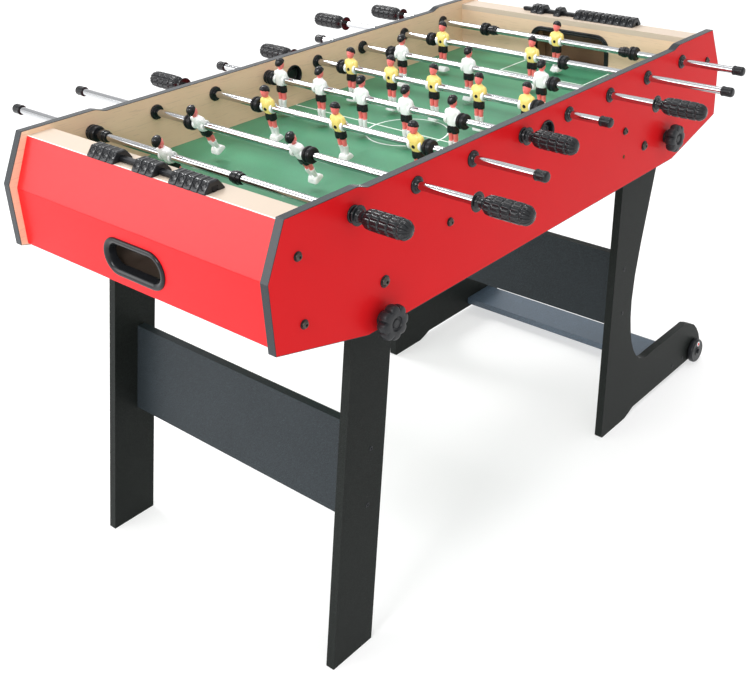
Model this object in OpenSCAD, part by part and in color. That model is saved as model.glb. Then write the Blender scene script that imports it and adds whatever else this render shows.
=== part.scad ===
// Folding foosball table, eight rods, side panels with shaped ends.
// X runs along the table, Y across it, Z up. Floor at z = 0, middle of the field at x = y = 0.

/* [Cabinet] */
// outside width over the two side panels
table_w = 610; // [500:5:800]
// thickness of the side panels
panel_t = 15; // [9:1:25]
// half length of the top edge of a side panel
half_top = 597; // [560:1:640]
// half length at the crease of the end
half_crease = 633; // [620:1:700]
// half length at the lower end corner
half_low = 629; // [600:1:690]
// half length of the flat bottom edge
half_flat = 451; // [400:1:500]
// height of the top edge at the ends
top_z = 788; // [740:1:900]
// height of the crease
crease_z = 708; // [680:1:740]
// height of the lower end corner
low_z = 602; // [580:1:640]
// height of the flat bottom edge
bottom_z = 556; // [520:1:570]
// how much the top edge is lower in the middle
top_drop = 7; // [0:1:20]
// where the low part of the top edge ends
drop_in = 434; // [300:1:470]
// length of the curve up to the high part
drop_run = 27; // [10:1:60]
// thickness of the edge band
band_t = 1; // [0.5:0.1:2]
// thickness of the end boards
end_t = 12; // [9:1:18]
// how far the end boards stand back from the side panel ends
end_inset = 13; // [5:1:25]
// top of the end ledges
ledge_z = 779; // [760:1:786]
// inner edge of the end ledges from the middle
wall_x = 541; // [538:1:560]
// top of the playfield
field_z = 678; // [670:1:690]
// thickness of the playfield
field_t = 5; // [3:1:6]
// height of a batten under the playfield
batten_h = 12; // [8:1:14]
// width of a batten
batten_w = 30; // [15:1:50]
// distance of the outer battens from the middle
batten_x = 260; // [200:5:290]

/* [Goals and ball return] */
// width of the goal mouth
goal_w = 180; // [120:5:220]
// height of the goal mouth
goal_h = 70; // [50:1:75]
// corner radius of the goal mouth
goal_r = 20; // [5:1:30]
// width of the goal frame
frame_w = 9; // [4:1:12]
// thickness of the goal frame on the wall
frame_t = 3; // [1:0.5:5]
// width of the ball return opening
return_w = 122; // [90:1:160]
// height of the ball return opening
return_h = 43; // [38:1:56]
// middle height of the ball return
return_z = 648; // [640:1:660]
// width of the ball return bezel
bezel_w = 10; // [4:1:14]
// thickness of the ball return bezel
bezel_t = 4; // [2:0.5:8]
// half width of the ball tray inside
tray_half = 104; // [80:1:130]
// board thickness of the ball tray
tray_t = 6; // [3:1:9]
// height of the ball entry holes
entry_z = 738; // [720:1:745]
// bore of the ball entry rings
entry_d = 34; // [30:1:40]
// outside of the ball entry rings
entry_ring_d = 42; // [38:1:50]

/* [Rods] */
// diameter of the rods
rod_d = 13; // [10:0.5:16]
// bore of the rod tubes
rod_bore = 10; // [6:0.5:12]
// distance from rod to rod
rod_pitch = 134; // [132:1:140]
// height of the rod axes
rod_z = 751.5; // [745:0.5:765]
// rod to bearing clearance on the radius
rod_fit = 0.05; // [0.01:0.01:0.1]
// flange diameter of the bearings
bearing_d = 27; // [24:1:34]
// outside diameter of the bearing body in the panel
bearing_body = 20; // [17:1:22]
// thickness of the outer bearing flange
bearing_out = 6; // [3:0.5:8]
// thickness of the inner bearing flange
bearing_in = 4; // [2:0.5:6]
// diameter of the rubber bumpers
bumper_d = 28; // [22:1:32]
// length of the rubber bumpers
bumper_l = 16; // [10:1:24]
// diameter of the clamp collars
collar_d = 18; // [16:1:24]
// length of the clamp collars
collar_l = 22; // [10:1:30]
// diameter of the grips
grip_d = 31; // [26:1:36]
// length of the grips over the flange
grip_l = 95; // [80:1:110]
// flange diameter of the grips
grip_flange = 29; // [24:1:36]
// diameter of the end caps
cap_d = 18; // [15:1:22]
// length of the end caps
cap_l = 22; // [12:1:30]

/* [Figures] */
// head above the rod axis
man_up = 43; // [36:1:50]
// sole below the rod axis
man_down = 65; // [55:1:66]
// half width of the sleeves on the rod
boss_half = 14; // [10:1:18]
// diameter of the sleeves on the rod
boss_d = 20; // [16:1:24]
// width of the shoulders
shoulder_w = 27; // [22:1:34]
// depth of the chest
chest_t = 16; // [15:1:22]
// width of the foot block
foot_w = 21; // [16:1:26]
// length of the foot block
foot_l = 22; // [16:1:30]

/* [Splayed legs] */
// splay of the legs, run for each unit of height
leg_splay = 0.15; // [0:0.01:0.25]
// width of the leg planks measured level
leg_w = 88; // [60:1:95]
// thickness of the leg planks and boots
leg_t = 16; // [12:1:20]
// gap between a leg and the side panel
leg_gap = 2; // [1:0.5:5]
// pivot bolt of the splayed legs from the middle
pivot_x = 412; // [380:1:440]
// height of the pivot bolt
pivot_z = 627; // [615:1:628]
// top of the cross panel
cross_top = 380; // [300:1:450]
// bottom of the cross panel
cross_bot = 222; // [150:1:290]
// thickness of the cross panels and the shelf
cross_t = 15; // [10:1:20]
// bolt diameter at the pivots and knobs
bolt_d = 8; // [6:1:10]
// running clearance of bolts and axles on the radius
bolt_fit = 0.05; // [0.01:0.01:0.1]

/* [Boot legs] */
// pivot of the boot legs from the middle
boot_x = 420; // [400:1:440]
// height of the boot pivot
boot_z = 612; // [600:1:620]
// front of the heel on the floor
heel_x = 246; // [220:1:280]
// back of the heel on the floor
heel_back = 342; // [300:1:360]
// tip of the toe
toe_x = 676; // [600:1:700]
// top of the toe
toe_z = 113; // [90:1:130]
// narrowest back edge of the shaft
waist_x = 346; // [335:1:360]
// height of the sole behind the heel
sole_z = 12; // [5:1:20]
// front face of the vertical cross panel
far_cross_x = 303; // [290:1:312]
// top of the vertical cross panel
far_cross_top = 392; // [320:1:450]
// bottom of the vertical cross panel
far_cross_bot = 231; // [200:1:290]
// near edge of the foot shelf
shelf_x = 526; // [480:1:560]
// width of the foot shelf
shelf_w = 86; // [50:1:100]
// top of the foot shelf
shelf_z = 37; // [32:1:60]
// caster diameter
caster_d = 54; // [40:1:56]
// caster thickness
caster_t = 13; // [8:1:16]
// caster axle from the middle
caster_x = 640; // [600:1:650]
// height of the caster axle
caster_z = 30; // [28:1:40]
// caster axle diameter
axle_d = 6; // [4:1:8]
// stop bolt of the boots from the middle
stop_x = 335; // [325:1:345]
// height of the stop bolt
stop_z = 617; // [612:1:620]

/* [Knobs] */
// diameter over the lobes of a knob
knob_d = 56; // [40:1:64]
// depth of the knob head
knob_t = 20; // [12:1:26]
// knob of the splayed legs from the middle
knob_x = 421; // [400:1:440]
// height of that knob
knob_z = 571; // [568:1:580]

/* [Score beads] */
// width of a bead at the bottom
bead_w = 38; // [30:1:44]
// width of a bead at the top
bead_top = 16; // [12:1:24]
// height of a bead
bead_h = 17; // [14:1:22]
// length of a bead along the rail
bead_l = 15.4; // [12:0.2:15.6]
// distance from bead to bead
bead_pitch = 16; // [16:0.5:20]
// width of the score rail
rail_w = 10; // [6:1:12]
// height of the score rail
rail_h = 8; // [5:1:10]
// length of the score rail
rail_l = 286; // [260:1:320]
// clearance between bead and rail
rail_fit = 0.4; // [0.3:0.1:1]

/* [Hidden] */
half_w = table_w / 2;
in_y = half_w - panel_t;
crease_x = half_crease - end_inset;
crease_end_z = crease_z - 8;
ledge_x = half_top - 9;
low_x = half_low - end_inset + 1;
leg_out = in_y - leg_gap;
leg_in = leg_out - leg_t;
splay_a = atan(leg_splay);
bead_x = wall_x + 30.5;
// figures' middle of each rod
rod_y = [92, 53, -23, in_y - bearing_in - bumper_l / 2 - 231, -11, 11, 68, -16];
// side of the table with the grip of each rod
grip_side = [-1, -1, 1, -1, 1, -1, 1, 1];
// how far the tip of each grip and of each end cap stands out from the side panels
grip_out = [103, 204, 165, 103, 146, 187, 251, 196];
cap_out = [215, 218, 138, 129, 85, 119, 172, 130];
grip_y = [for (i = [0 : 7]) grip_side[i] * (half_w + grip_out[i])];
cap_y = [for (i = [0 : 7]) -grip_side[i] * (half_w + cap_out[i])];
// how far the figures of each rod are turned about it
turn = [30, 30, 12, 0, 0, 0, 0, 0];
// places of the figures along each rod
men = [[0], [-118, 118], [-170, 0, 170], [-208, -104, 0, 104, 208],
       [-208, -104, 0, 104, 208], [-170, 0, 170], [-114, 114], [0]];
// places of the bumpers along each rod
stops = [[], [-142, 142], [-197, 197], [-230, 230], [-230, 230], [-197, 197], [-189, 143], [-184, 184]];
// places of the clamp collars along each rod
collars = [[-163, 163], [], [], [], [], [], [], [-163, 163]];
// middle of the whole object's box, which is its origin
origin_x = (toe_x - half_crease) / 2;
origin_y = (max(concat(grip_y, cap_y)) + min(concat(grip_y, cap_y))) / 2;
// which way the figures of each rod look
facing = [1, 1, -1, 1, -1, 1, -1, -1];
bolt_xz = [[578, 729], [575, 628], [batten_x, field_z - field_t - batten_h / 2]];
// first bead and number of beads in each pack of the two rails
near_packs = [[[72, 4]], [[-20, 3]], [[-135, 5]]];
far_packs = [[[86, 2]], [[42, 1]], [[-57, 4], [-138, 5]]];

// a cylinder along Y from y0 to y1
module ycyl(x, z, y0, y1, d, n = 48) {
    translate([x, min(y0, y1), z])
        rotate([-90, 0, 0])
            cylinder(h = abs(y1 - y0), d = d, $fn = n);
}

// a profile in the X-Z plane carried along Y from y0 to y1
module yext(y0, y1) {
    translate([0, max(y0, y1), 0])
        rotate([90, 0, 0])
            linear_extrude(height = abs(y1 - y0))
                children();
}

// moves a sub-part from the middle of the field to the frame of the whole object
module placed() {
    translate([-origin_x, -origin_y, 0])
        children();
}

module both_sides() {
    children();
    mirror([0, 1, 0])
        children();
}

module both_ends() {
    children();
    mirror([1, 0, 0])
        children();
}

// right half of the side panel outline, set in by d
function half_outline(d) = concat(
    [for (k = [0 : 6]) [drop_in + drop_run * k / 6, top_z - d - top_drop * (1 + cos(30 * k)) / 2]],
    [[half_top - 0.9 * d, top_z - d], [half_crease - d, crease_z],
     [half_low - d, low_z + 0.8 * d], [half_flat - 0.1 * d, bottom_z + d]]);
function flip(p) = [for (k = [len(p) - 1 : -1 : 0]) [-p[k][0], p[k][1]]];
module outline(d) {
    polygon(concat(half_outline(d), flip(half_outline(d))));
}

module side_panel() {
    difference() {
        yext(-half_w, -in_y)
            outline(band_t);
        for (i = [0 : 7])
            ycyl((i - 3.5) * rod_pitch, rod_z, -half_w - 1, -in_y + 1, bearing_body);
        ycyl(0, entry_z, -half_w - 1, -in_y + 1, entry_d + 4);
        for (p = bolt_xz, s = [-1, 1])
            ycyl(s * p[0], p[1], -half_w - 1, -in_y + 1, 6);
        ycyl(-pivot_x, pivot_z, -half_w - 1, -in_y + 1, bolt_d);
        ycyl(-knob_x, knob_z, -half_w - 1, -in_y + 1, bolt_d + 2 * bolt_fit);
        ycyl(boot_x, boot_z, -half_w - 1, -in_y + 1, bolt_d + 2 * bolt_fit);
        ycyl(stop_x, stop_z, -half_w - 1, -in_y + 1, bolt_d);
        ycyl(batten_x, stop_z, -half_w - 1, -in_y + 1, 8);
    }
}

module side_panel_right() {
    color([0.86, 0.12, 0.11])
        side_panel();
}

module side_panel_left() {
    color([0.86, 0.12, 0.11])
        mirror([0, 1, 0])
            side_panel();
}

module edge_bands() {
    color([0.33, 0.37, 0.42])
        both_sides()
            yext(-half_w, -in_y)
                difference() {
                    outline(0);
                    outline(band_t);
                }
}

module upper_end_panels() {
    color([0.9, 0.13, 0.12])
        both_ends()
            yext(-in_y, in_y)
                polygon([[ledge_x, ledge_z], [crease_x, crease_end_z], [crease_x - end_t, crease_end_z],
                         [ledge_x - end_t + 4.9, ledge_z - end_t]]);
}

module return_slot(w, h) {
    translate([-(w - h) / 2, 0])
        circle(d = h, $fn = 48);
    translate([(w - h) / 2, 0])
        circle(d = h, $fn = 48);
    square([w - h, h], center = true);
}

// a shape in the Y-Z plane carried along X from x0 to x1
module xext(x0, x1) {
    translate([x0, 0, 0])
        rotate([90, 0, 90])
            linear_extrude(height = x1 - x0)
                children();
}

module lower_end_panels() {
    color([0.9, 0.13, 0.12])
        both_ends()
            difference() {
                yext(-in_y, in_y)
                    polygon([[crease_x, crease_end_z], [low_x, low_z], [low_x - end_t, low_z],
                             [crease_x - end_t, crease_end_z]]);
                xext(low_x - 2 * end_t, crease_x + 5)
                    translate([0, return_z])
                        return_slot(return_w, return_h);
            }
}

module end_ledges() {
    color([0.96, 0.9, 0.8])
        both_ends()
            yext(-in_y, in_y)
                polygon([[wall_x, ledge_z], [ledge_x, ledge_z], [ledge_x - end_t + 4.9, ledge_z - end_t],
                         [wall_x, ledge_z - end_t]]);
}

// goal mouth with two rounded upper corners, grown by g
module goal_shape(g) {
    translate([-goal_w / 2 - g, -1 - g])
        square([goal_w + 2 * g, goal_h - goal_r + 1 + g]);
    translate([-goal_w / 2 + goal_r, goal_h - goal_r - 0.01])
        square([goal_w - 2 * goal_r, goal_r + g]);
    for (s = [-1, 1])
        translate([s * (goal_w / 2 - goal_r), goal_h - goal_r])
            circle(r = goal_r + g, $fn = 48);
}

module inner_end_walls() {
    color([0.87, 0.79, 0.66])
        both_ends()
            difference() {
                translate([wall_x, -in_y, field_z - field_t])
                    cube([end_t, 2 * in_y, ledge_z - end_t - field_z + field_t]);
                xext(wall_x - 1, wall_x + end_t + 1)
                    translate([0, field_z])
                        goal_shape(0);
            }
}

module goal_frames() {
    color([0.06, 0.06, 0.07])
        both_ends()
            difference() {
                xext(wall_x - frame_t, wall_x)
                    translate([0, field_z])
                        intersection() {
                            goal_shape(frame_w);
                            translate([-200, 0])
                                square([400, 200]);
                        }
                xext(wall_x - frame_t - 1, wall_x + 1)
                    translate([0, field_z])
                        goal_shape(0);
            }
}

module return_bezels() {
    color([0.05, 0.05, 0.06])
        both_ends()
            difference() {
                intersection() {
                    xext(low_x - end_t, crease_x + 12)
                        translate([0, return_z])
                            return_slot(return_w + 2 * bezel_w, return_h + 2 * bezel_w);
                    yext(-in_y, in_y)
                        polygon([[crease_x, crease_end_z], [low_x, low_z], [low_x + bezel_t, low_z],
                                 [crease_x + bezel_t, crease_end_z]]);
                }
                xext(low_x - 2 * end_t, crease_x + 20)
                    translate([0, return_z])
                        return_slot(return_w, return_h);
            }
}

module ball_trays() {
    tx0 = wall_x + end_t;
    lean = (crease_x - low_x) / (crease_end_z - low_z);
    tx1 = low_x - end_t + 2 * lean;
    tx2 = low_x - end_t + 6 * lean;
    color([0.75, 0.62, 0.45])
        both_ends() {
            for (y = [-tray_half - tray_t, tray_half])
                yext(y, y + tray_t)
                    polygon([[tx0, low_z + 2], [tx1, low_z + 2], [crease_x - end_t - 1, crease_end_z],
                             [ledge_x - end_t + 5, ledge_z - end_t - 5], [tx0, ledge_z - end_t - 5]]);
            yext(-tray_half, tray_half)
                polygon([[tx0, low_z + 12], [tx2, low_z + 6], [tx1, low_z + 2], [tx0, low_z + 2]]);
        }
}

module playfield() {
    color([0.13, 0.42, 0.22])
        translate([-wall_x, -in_y, field_z - field_t])
            cube([2 * wall_x, 2 * in_y, field_t]);
}

module support_timbers() {
    color([0.72, 0.6, 0.42]) {
        for (x = [-batten_x, 0, batten_x])
            difference() {
                translate([x - batten_w / 2, -in_y, field_z - field_t - batten_h])
                    cube([batten_w, 2 * in_y, batten_h]);
                for (s = [-1, 1])
                    ycyl(x, bolt_xz[2][1], s * (in_y - 22), s * (in_y + 1), x == 0 ? 1 : 6);
            }
        both_ends()
            both_sides()
                for (p = [0, 1])
                    difference() {
                        translate([bolt_xz[p][0] - 16, -in_y, bolt_xz[p][1] - 15])
                            cube([26, 40, 30]);
                        ycyl(bolt_xz[p][0], bolt_xz[p][1], -in_y - 1, -in_y + 22, 6);
                    }
    }
}

module rod_bearings() {
    color([0.07, 0.07, 0.08])
        both_sides()
            for (i = [0 : 7])
                difference() {
                    union() {
                        ycyl((i - 3.5) * rod_pitch, rod_z, -half_w - bearing_out, -half_w, bearing_d);
                        ycyl((i - 3.5) * rod_pitch, rod_z, -half_w - 0.01, -in_y + 0.01, bearing_body);
                        ycyl((i - 3.5) * rod_pitch, rod_z, -in_y, -in_y + bearing_in, bearing_d);
                    }
                    ycyl((i - 3.5) * rod_pitch, rod_z, -half_w - 20, -in_y + 20, rod_d + 2 * rod_fit);
                }
}

module entry_rings() {
    color([0.06, 0.06, 0.07])
        both_sides()
            difference() {
                union() {
                    ycyl(0, entry_z, -half_w - 3, -half_w, entry_ring_d);
                    ycyl(0, entry_z, -half_w - 0.01, -in_y + 0.01, entry_d + 4);
                    ycyl(0, entry_z, -in_y, -in_y + 2, entry_ring_d);
                }
                ycyl(0, entry_z, -half_w - 20, -in_y + 20, entry_d);
            }
}

// domed head on a washer outside the side panel, shank inward to depth
module cap_bolt(x, z, d, depth) {
    ycyl(x, z, -half_w - 1.5, -half_w, 2.4 * d);
    ycyl(x, z, -half_w - 4, -half_w - 1.49, 1.9 * d);
    ycyl(x, z, -half_w - 5.5, -half_w - 3.99, 1.4 * d);
    ycyl(x, z, -half_w - 0.01, -half_w + depth, d);
}

module cap_bolts() {
    color([0.08, 0.08, 0.09])
        both_sides() {
            for (p = bolt_xz, s = [-1, 1])
                cap_bolt(s * p[0], p[1], 6, panel_t + 21);
            cap_bolt(-pivot_x, pivot_z, bolt_d, panel_t + leg_gap + leg_t);
            cap_bolt(stop_x, stop_z, bolt_d, panel_t + leg_gap + leg_t);
        }
}

module rail_profile(c) {
    translate([-rail_w / 2 - c, 3 - c])
        square([rail_w + 2 * c, rail_h - 3 + 2 * c]);
    translate([-rail_w / 2 + 2 - c, -c])
        square([rail_w - 4 + 2 * c, 4]);
}

module score_rails() {
    color([0.08, 0.08, 0.09])
        both_ends() {
            translate([bead_x, 0, ledge_z])
                yext(-rail_l / 2 - 6, rail_l / 2 - 6)
                    rail_profile(0);
            for (y = [-rail_l / 2 - 9, rail_l / 2 - 6])
                translate([bead_x - 9, y, ledge_z])
                    cube([18, 3, rail_h + 3]);
        }
}

module bead(y) {
    difference() {
        translate([0, 0, 0.4])
            yext(y - bead_l / 2, y + bead_l / 2)
                polygon([[-bead_w / 2, 0], [-bead_w / 2, 2], [-bead_top / 2, bead_h],
                         [bead_top / 2, bead_h], [bead_w / 2, 2], [bead_w / 2, 0]]);
        yext(y - bead_l, y + bead_l)
            rail_profile(rail_fit);
        translate([-rail_w / 2 + 2 - rail_fit, y - bead_l, -1])
            cube([rail_w - 4 + 2 * rail_fit, 2 * bead_l, 3]);
    }
}

module bead_pack(pack, s) {
    color([0.1, 0.1, 0.11])
        translate([s * bead_x, 0, ledge_z])
            for (p = pack, k = [0 : p[1] - 1])
                bead(p[0] + k * bead_pitch);
}

module loose_bumpers() {
    color([0.06, 0.06, 0.07])
        both_sides()
            bumper(-3.5 * rod_pitch, -in_y + bearing_in + bumper_l / 2);
}

// double-ringed rubber bumper centred at y on a rod at x
module bumper(x, y) {
    difference() {
        union() {
            ycyl(x, rod_z, y - bumper_l / 2, y - 1.5, bumper_d);
            ycyl(x, rod_z, y - 2, y + 2, bumper_d - 6);
            ycyl(x, rod_z, y + 1.5, y + bumper_l / 2, bumper_d);
        }
        ycyl(x, rod_z, y - bumper_l, y + bumper_l, rod_d + 2 * rod_fit);
    }
}

module rod(i) {
    s = sign(grip_y[i]);
    x = (i - 3.5) * rod_pitch;
    color([0.78, 0.79, 0.8])
        difference() {
            ycyl(x, rod_z, grip_y[i] - s * 12, cap_y[i] + s * 4, rod_d);
            ycyl(x, rod_z, grip_y[i] + s * 12, cap_y[i] - s * 4, rod_bore);
        }
}

// black fittings of a rod: grip, end cap, bumpers and collars
module fittings(i) {
    s = sign(grip_y[i]);
    x = (i - 3.5) * rod_pitch;
    f = grip_y[i] - s * grip_l;
    color([0.05, 0.05, 0.06]) {
        difference() {
            translate([x, f, rod_z])
                rotate([-90 * s, 0, 0])
                    rotate_extrude($fn = 64)
                        polygon([[0, 0], [grip_flange / 2, 0], [grip_flange / 2, 5], [9.5, 7], [9, 15],
                                 [grip_d / 2 - 2.5, 20], [grip_d / 2, 24], [grip_d / 2, grip_l - 16],
                                 [grip_d / 2 - 1.2, grip_l - 9], [grip_d / 2 - 4.2, grip_l - 4],
                                 [grip_d / 2 - 9, grip_l - 0.8], [0, grip_l]]);
            ycyl(x, rod_z, f - s, grip_y[i] - s * 12, rod_d + 2 * rod_fit);
        }
        difference() {
            union() {
                ycyl(x, rod_z, cap_y[i] + s * 2, cap_y[i] + s * cap_l, cap_d);
                ycyl(x, rod_z, cap_y[i], cap_y[i] + s * 2.01, cap_d - 4);
            }
            ycyl(x, rod_z, cap_y[i] + s * 4, cap_y[i] + s * (cap_l + 1), rod_d + 2 * rod_fit);
        }
        for (y = stops[i])
            bumper(x, rod_y[i] + y);
        for (y = collars[i])
            difference() {
                union() {
                    ycyl(x, rod_z, rod_y[i] + y - collar_l / 2, rod_y[i] + y + collar_l / 2, collar_d);
                    ycyl(x, rod_z, rod_y[i] + y - 4, rod_y[i] + y + 4, collar_d + 3);
                }
                ycyl(x, rod_z, rod_y[i] + y - 50, rod_y[i] + y + 50, rod_d + 2 * rod_fit);
            }
    }
}

// one player looking along +X, rod axis through the origin along Y
module man() {
    difference() {
        union() {
            ycyl(0, 0, -boss_half, boss_half, boss_d);
            rotate([90, 0, 90])
                linear_extrude(height = chest_t, center = true)
                    polygon([[-10, -11], [10, -11], [11, 0], [shoulder_w / 2, 6], [shoulder_w / 2, 13],
                             [shoulder_w / 2 - 4, 17.5], [5, 20], [-5, 20], [-shoulder_w / 2 + 4, 17.5],
                             [-shoulder_w / 2, 13], [-shoulder_w / 2, 6], [-11, 0]]);
            translate([0, 0, 15])
                cylinder(h = 10, d = 9, $fn = 32);
            translate([0, 0, 31])
                sphere(d = 19, $fn = 32);
            translate([-0.8, 0, 32])
                cylinder(h = man_up - 32, d1 = 20.5, d2 = 15, $fn = 32);
            translate([-8.5, -11, -25])
                cube([17, 22, 15]);
            translate([-5.5, -8, -55])
                cube([11, 16, 31]);
            yext(-foot_w / 2, foot_w / 2)
                polygon([[-foot_l / 2 + 1, -man_down], [foot_l / 2 - 1, -man_down], [foot_l / 2, -man_down + 3],
                         [4, -50], [-5, -50], [-foot_l / 2, -man_down + 4]]);
        }
        ycyl(0, 0, -40, 40, rod_d + 2 * rod_fit);
        translate([5, 0, 0])
            rotate([0, 90, 0])
                cylinder(h = 10, d = 4, $fn = 24);
    }
}

module figures(i) {
    color(facing[i] > 0 ? [0.92, 0.92, 0.9] : [0.93, 0.82, 0.35])
        translate([(i - 3.5) * rod_pitch, rod_y[i], rod_z])
            rotate([0, -turn[i], 0])
                for (y = men[i])
                    translate([0, y, 0])
                        rotate([0, 0, facing[i] > 0 ? 0 : 180])
                            man();
}

// level leg plank middle line at height z
function leg_mid(z) = -pivot_x - (pivot_z - z) * leg_splay;

module leg_planks() {
    color([0.13, 0.14, 0.15])
        both_sides()
            difference() {
                yext(-leg_out, -leg_in)
                    union() {
                        polygon([[leg_mid(0) - leg_w / 2, 0], [leg_mid(0) + leg_w / 2, 0],
                                 [leg_mid(pivot_z) + leg_w / 2, pivot_z],
                                 [leg_mid(pivot_z) - leg_w / 2, pivot_z]]);
                        translate([-pivot_x, pivot_z])
                            circle(d = leg_w * cos(splay_a), $fn = 64);
                    }
                ycyl(-pivot_x, pivot_z, -in_y, -leg_in + 1, bolt_d + 2 * bolt_fit);
                for (z = [256, 351])
                    ycyl(leg_mid(z) + 5.5 + cross_t / 2, z, -in_y, -leg_in + 1, 4);
            }
}

module leg_cross_panel() {
    color([0.13, 0.14, 0.15])
        difference() {
            yext(-leg_in, leg_in)
                polygon([[leg_mid(cross_bot) + 5.5, cross_bot], [leg_mid(cross_bot) + 5.5 + cross_t, cross_bot],
                         [leg_mid(cross_top) + 5.5 + cross_t, cross_top], [leg_mid(cross_top) + 5.5, cross_top]]);
            both_sides()
                for (z = [256, 351])
                    ycyl(leg_mid(z) + 5.5 + cross_t / 2, z, -leg_in - 1, -leg_in + 30, 4);
        }
}

module screw(x, z) {
    ycyl(x, z, -leg_out - 0.8, -leg_out + 0.01, 8);
    ycyl(x, z, -leg_out, -leg_in + 30, 4);
}

module leg_screws() {
    color([0.2, 0.2, 0.21])
        both_sides()
            for (z = [256, 351])
                screw(leg_mid(z) + 5.5 + cross_t / 2, z);
}

// boot outline in the X-Z plane, from the heel front round by the top to the toe
module boot_shape() {
    slope = 0.084;
    r = boot_x + 43;
    polygon([[heel_x, 3], [heel_x + 3, 0], [heel_back - 4, 0], [heel_back + 12, 5], [heel_back + 30, sole_z],
             [caster_x - 20, sole_z], [caster_x + 10, sole_z + 1], [toe_x - 8, sole_z + 9],
             [toe_x, sole_z + 24], [toe_x - 7, 58], [toe_x - 19, 77], [toe_x - 34, 93],
             [toe_x - 54, toe_z - 9], [toe_x - 75, toe_z], [waist_x + 90, toe_z], [waist_x + 76, toe_z - 1],
             [waist_x + 60, toe_z + 2], [waist_x + 44, toe_z + 10], [waist_x + 30, toe_z + 23],
             [waist_x + 17, toe_z + 43], [waist_x + 8, toe_z + 66], [waist_x + 3, toe_z + 92],
             [waist_x, toe_z + 125], [waist_x + 1, 277], [waist_x + 10, 330], [waist_x + 29, 399],
             [waist_x + 52, 470], [waist_x + 74, 539], [waist_x + 84, 565], [r - 14, boot_z - 32],
             [r - 4, boot_z - 17], [r, boot_z], [r - 3, boot_z + 16], [r - 12, boot_z + 30],
             [r - 26, boot_z + 40], [boot_x, boot_z + 43], [stop_x + 30, boot_z + 43],
             [stop_x + 18, boot_z + 38], [stop_x + 14, boot_z + 28], [stop_x + 14, stop_z - 4.5],
             [heel_x + slope * stop_z, stop_z - 4.5]]);
}

module boot_plates() {
    color([0.13, 0.14, 0.15])
        both_sides()
            difference() {
                yext(-leg_out, -leg_in)
                    boot_shape();
                ycyl(boot_x, boot_z, -in_y, -leg_in + 1, bolt_d + 2 * bolt_fit);
                ycyl(caster_x, caster_z, -in_y, -leg_in + 1, axle_d);
                for (p = boot_screws())
                    ycyl(p[0], p[1], -in_y, -leg_in + 1, 4);
            }
}

function boot_screws() = [[far_cross_x + cross_t / 2, far_cross_top - 32],
                          [far_cross_x + cross_t / 2, far_cross_bot + 32],
                          [shelf_x + 20, shelf_z - cross_t / 2],
                          [shelf_x + shelf_w - 20, shelf_z - cross_t / 2]];

module boot_cross_panel() {
    color([0.13, 0.14, 0.15])
        difference() {
            translate([far_cross_x, -leg_in, far_cross_bot])
                cube([cross_t, 2 * leg_in, far_cross_top - far_cross_bot]);
            both_sides()
                for (k = [0, 1])
                    ycyl(boot_screws()[k][0], boot_screws()[k][1], -leg_in - 1, -leg_in + 30, 4);
        }
}

module foot_shelf() {
    color([0.2, 0.22, 0.24])
        difference() {
            translate([shelf_x, -leg_in, shelf_z - cross_t])
                cube([shelf_w, 2 * leg_in, cross_t]);
            both_sides()
                for (k = [2, 3])
                    ycyl(boot_screws()[k][0], boot_screws()[k][1], -leg_in - 1, -leg_in + 30, 4);
        }
}

module boot_hardware() {
    color([0.2, 0.2, 0.21])
        both_sides() {
            for (p = boot_screws())
                screw(p[0], p[1]);
            ycyl(caster_x, caster_z, -leg_out - caster_t - 4, -leg_in, axle_d);
            ycyl(caster_x, caster_z, -leg_out - caster_t - 5.5, -leg_out - caster_t - 3, 12);
        }
}

module caster() {
    color([0.07, 0.07, 0.08])
        difference() {
            union() {
                ycyl(caster_x, caster_z, -leg_out - caster_t - 1, -leg_out - 1, caster_d - 4);
                ycyl(caster_x, caster_z, -leg_out - caster_t + 1, -leg_out - 3, caster_d);
                ycyl(caster_x, caster_z, -leg_out - caster_t - 2, -leg_out - 0.5, 22);
            }
            ycyl(caster_x, caster_z, -leg_out - 40, -leg_out + 1, axle_d + 2 * bolt_fit);
        }
}

module caster_right() {
    caster();
}

module caster_left() {
    mirror([0, 1, 0])
        caster();
}

// eight-lobed knob at x, z on the near side, stem ends at depth from the panel face
module knob(x, z, depth) {
    color([0.08, 0.08, 0.09])
        difference() {
            union() {
                ycyl(x, z, -half_w - 10, -half_w - 0.5, 26);
                ycyl(x, z, -half_w - 10 - knob_t, -half_w - 9.99, knob_d - 9);
                for (k = [0 : 7])
                    translate([x + (knob_d / 2 - 7.5) * cos(45 * k), -half_w - 11, z + (knob_d / 2 - 7.5) * sin(45 * k)])
                        rotate([90, 0, 0])
                            cylinder(h = knob_t - 2, d = 15, $fn = 32);
                ycyl(x, z, -half_w - 2, -half_w + depth, bolt_d);
            }
            ycyl(x, z, -half_w - 10 - knob_t - 1, -half_w - 10 - knob_t + 4, 22);
            for (k = [0 : 7])
                translate([x + (knob_d / 2 + 1.5) * cos(45 * k + 22.5), -half_w - 9, z + (knob_d / 2 + 1.5) * sin(45 * k + 22.5)])
                    rotate([90, 0, 0])
                        cylinder(h = knob_t + 5, d = 10, $fn = 32);
        }
}

module knob_near_right() {
    knob(-knob_x, knob_z, panel_t);
}

module knob_near_left() {
    mirror([0, 1, 0])
        knob(-knob_x, knob_z, panel_t);
}

module knob_far_right() {
    knob(boot_x, boot_z, panel_t + leg_gap + leg_t);
}

module knob_far_left() {
    mirror([0, 1, 0])
        knob(boot_x, boot_z, panel_t + leg_gap + leg_t);
}

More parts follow.
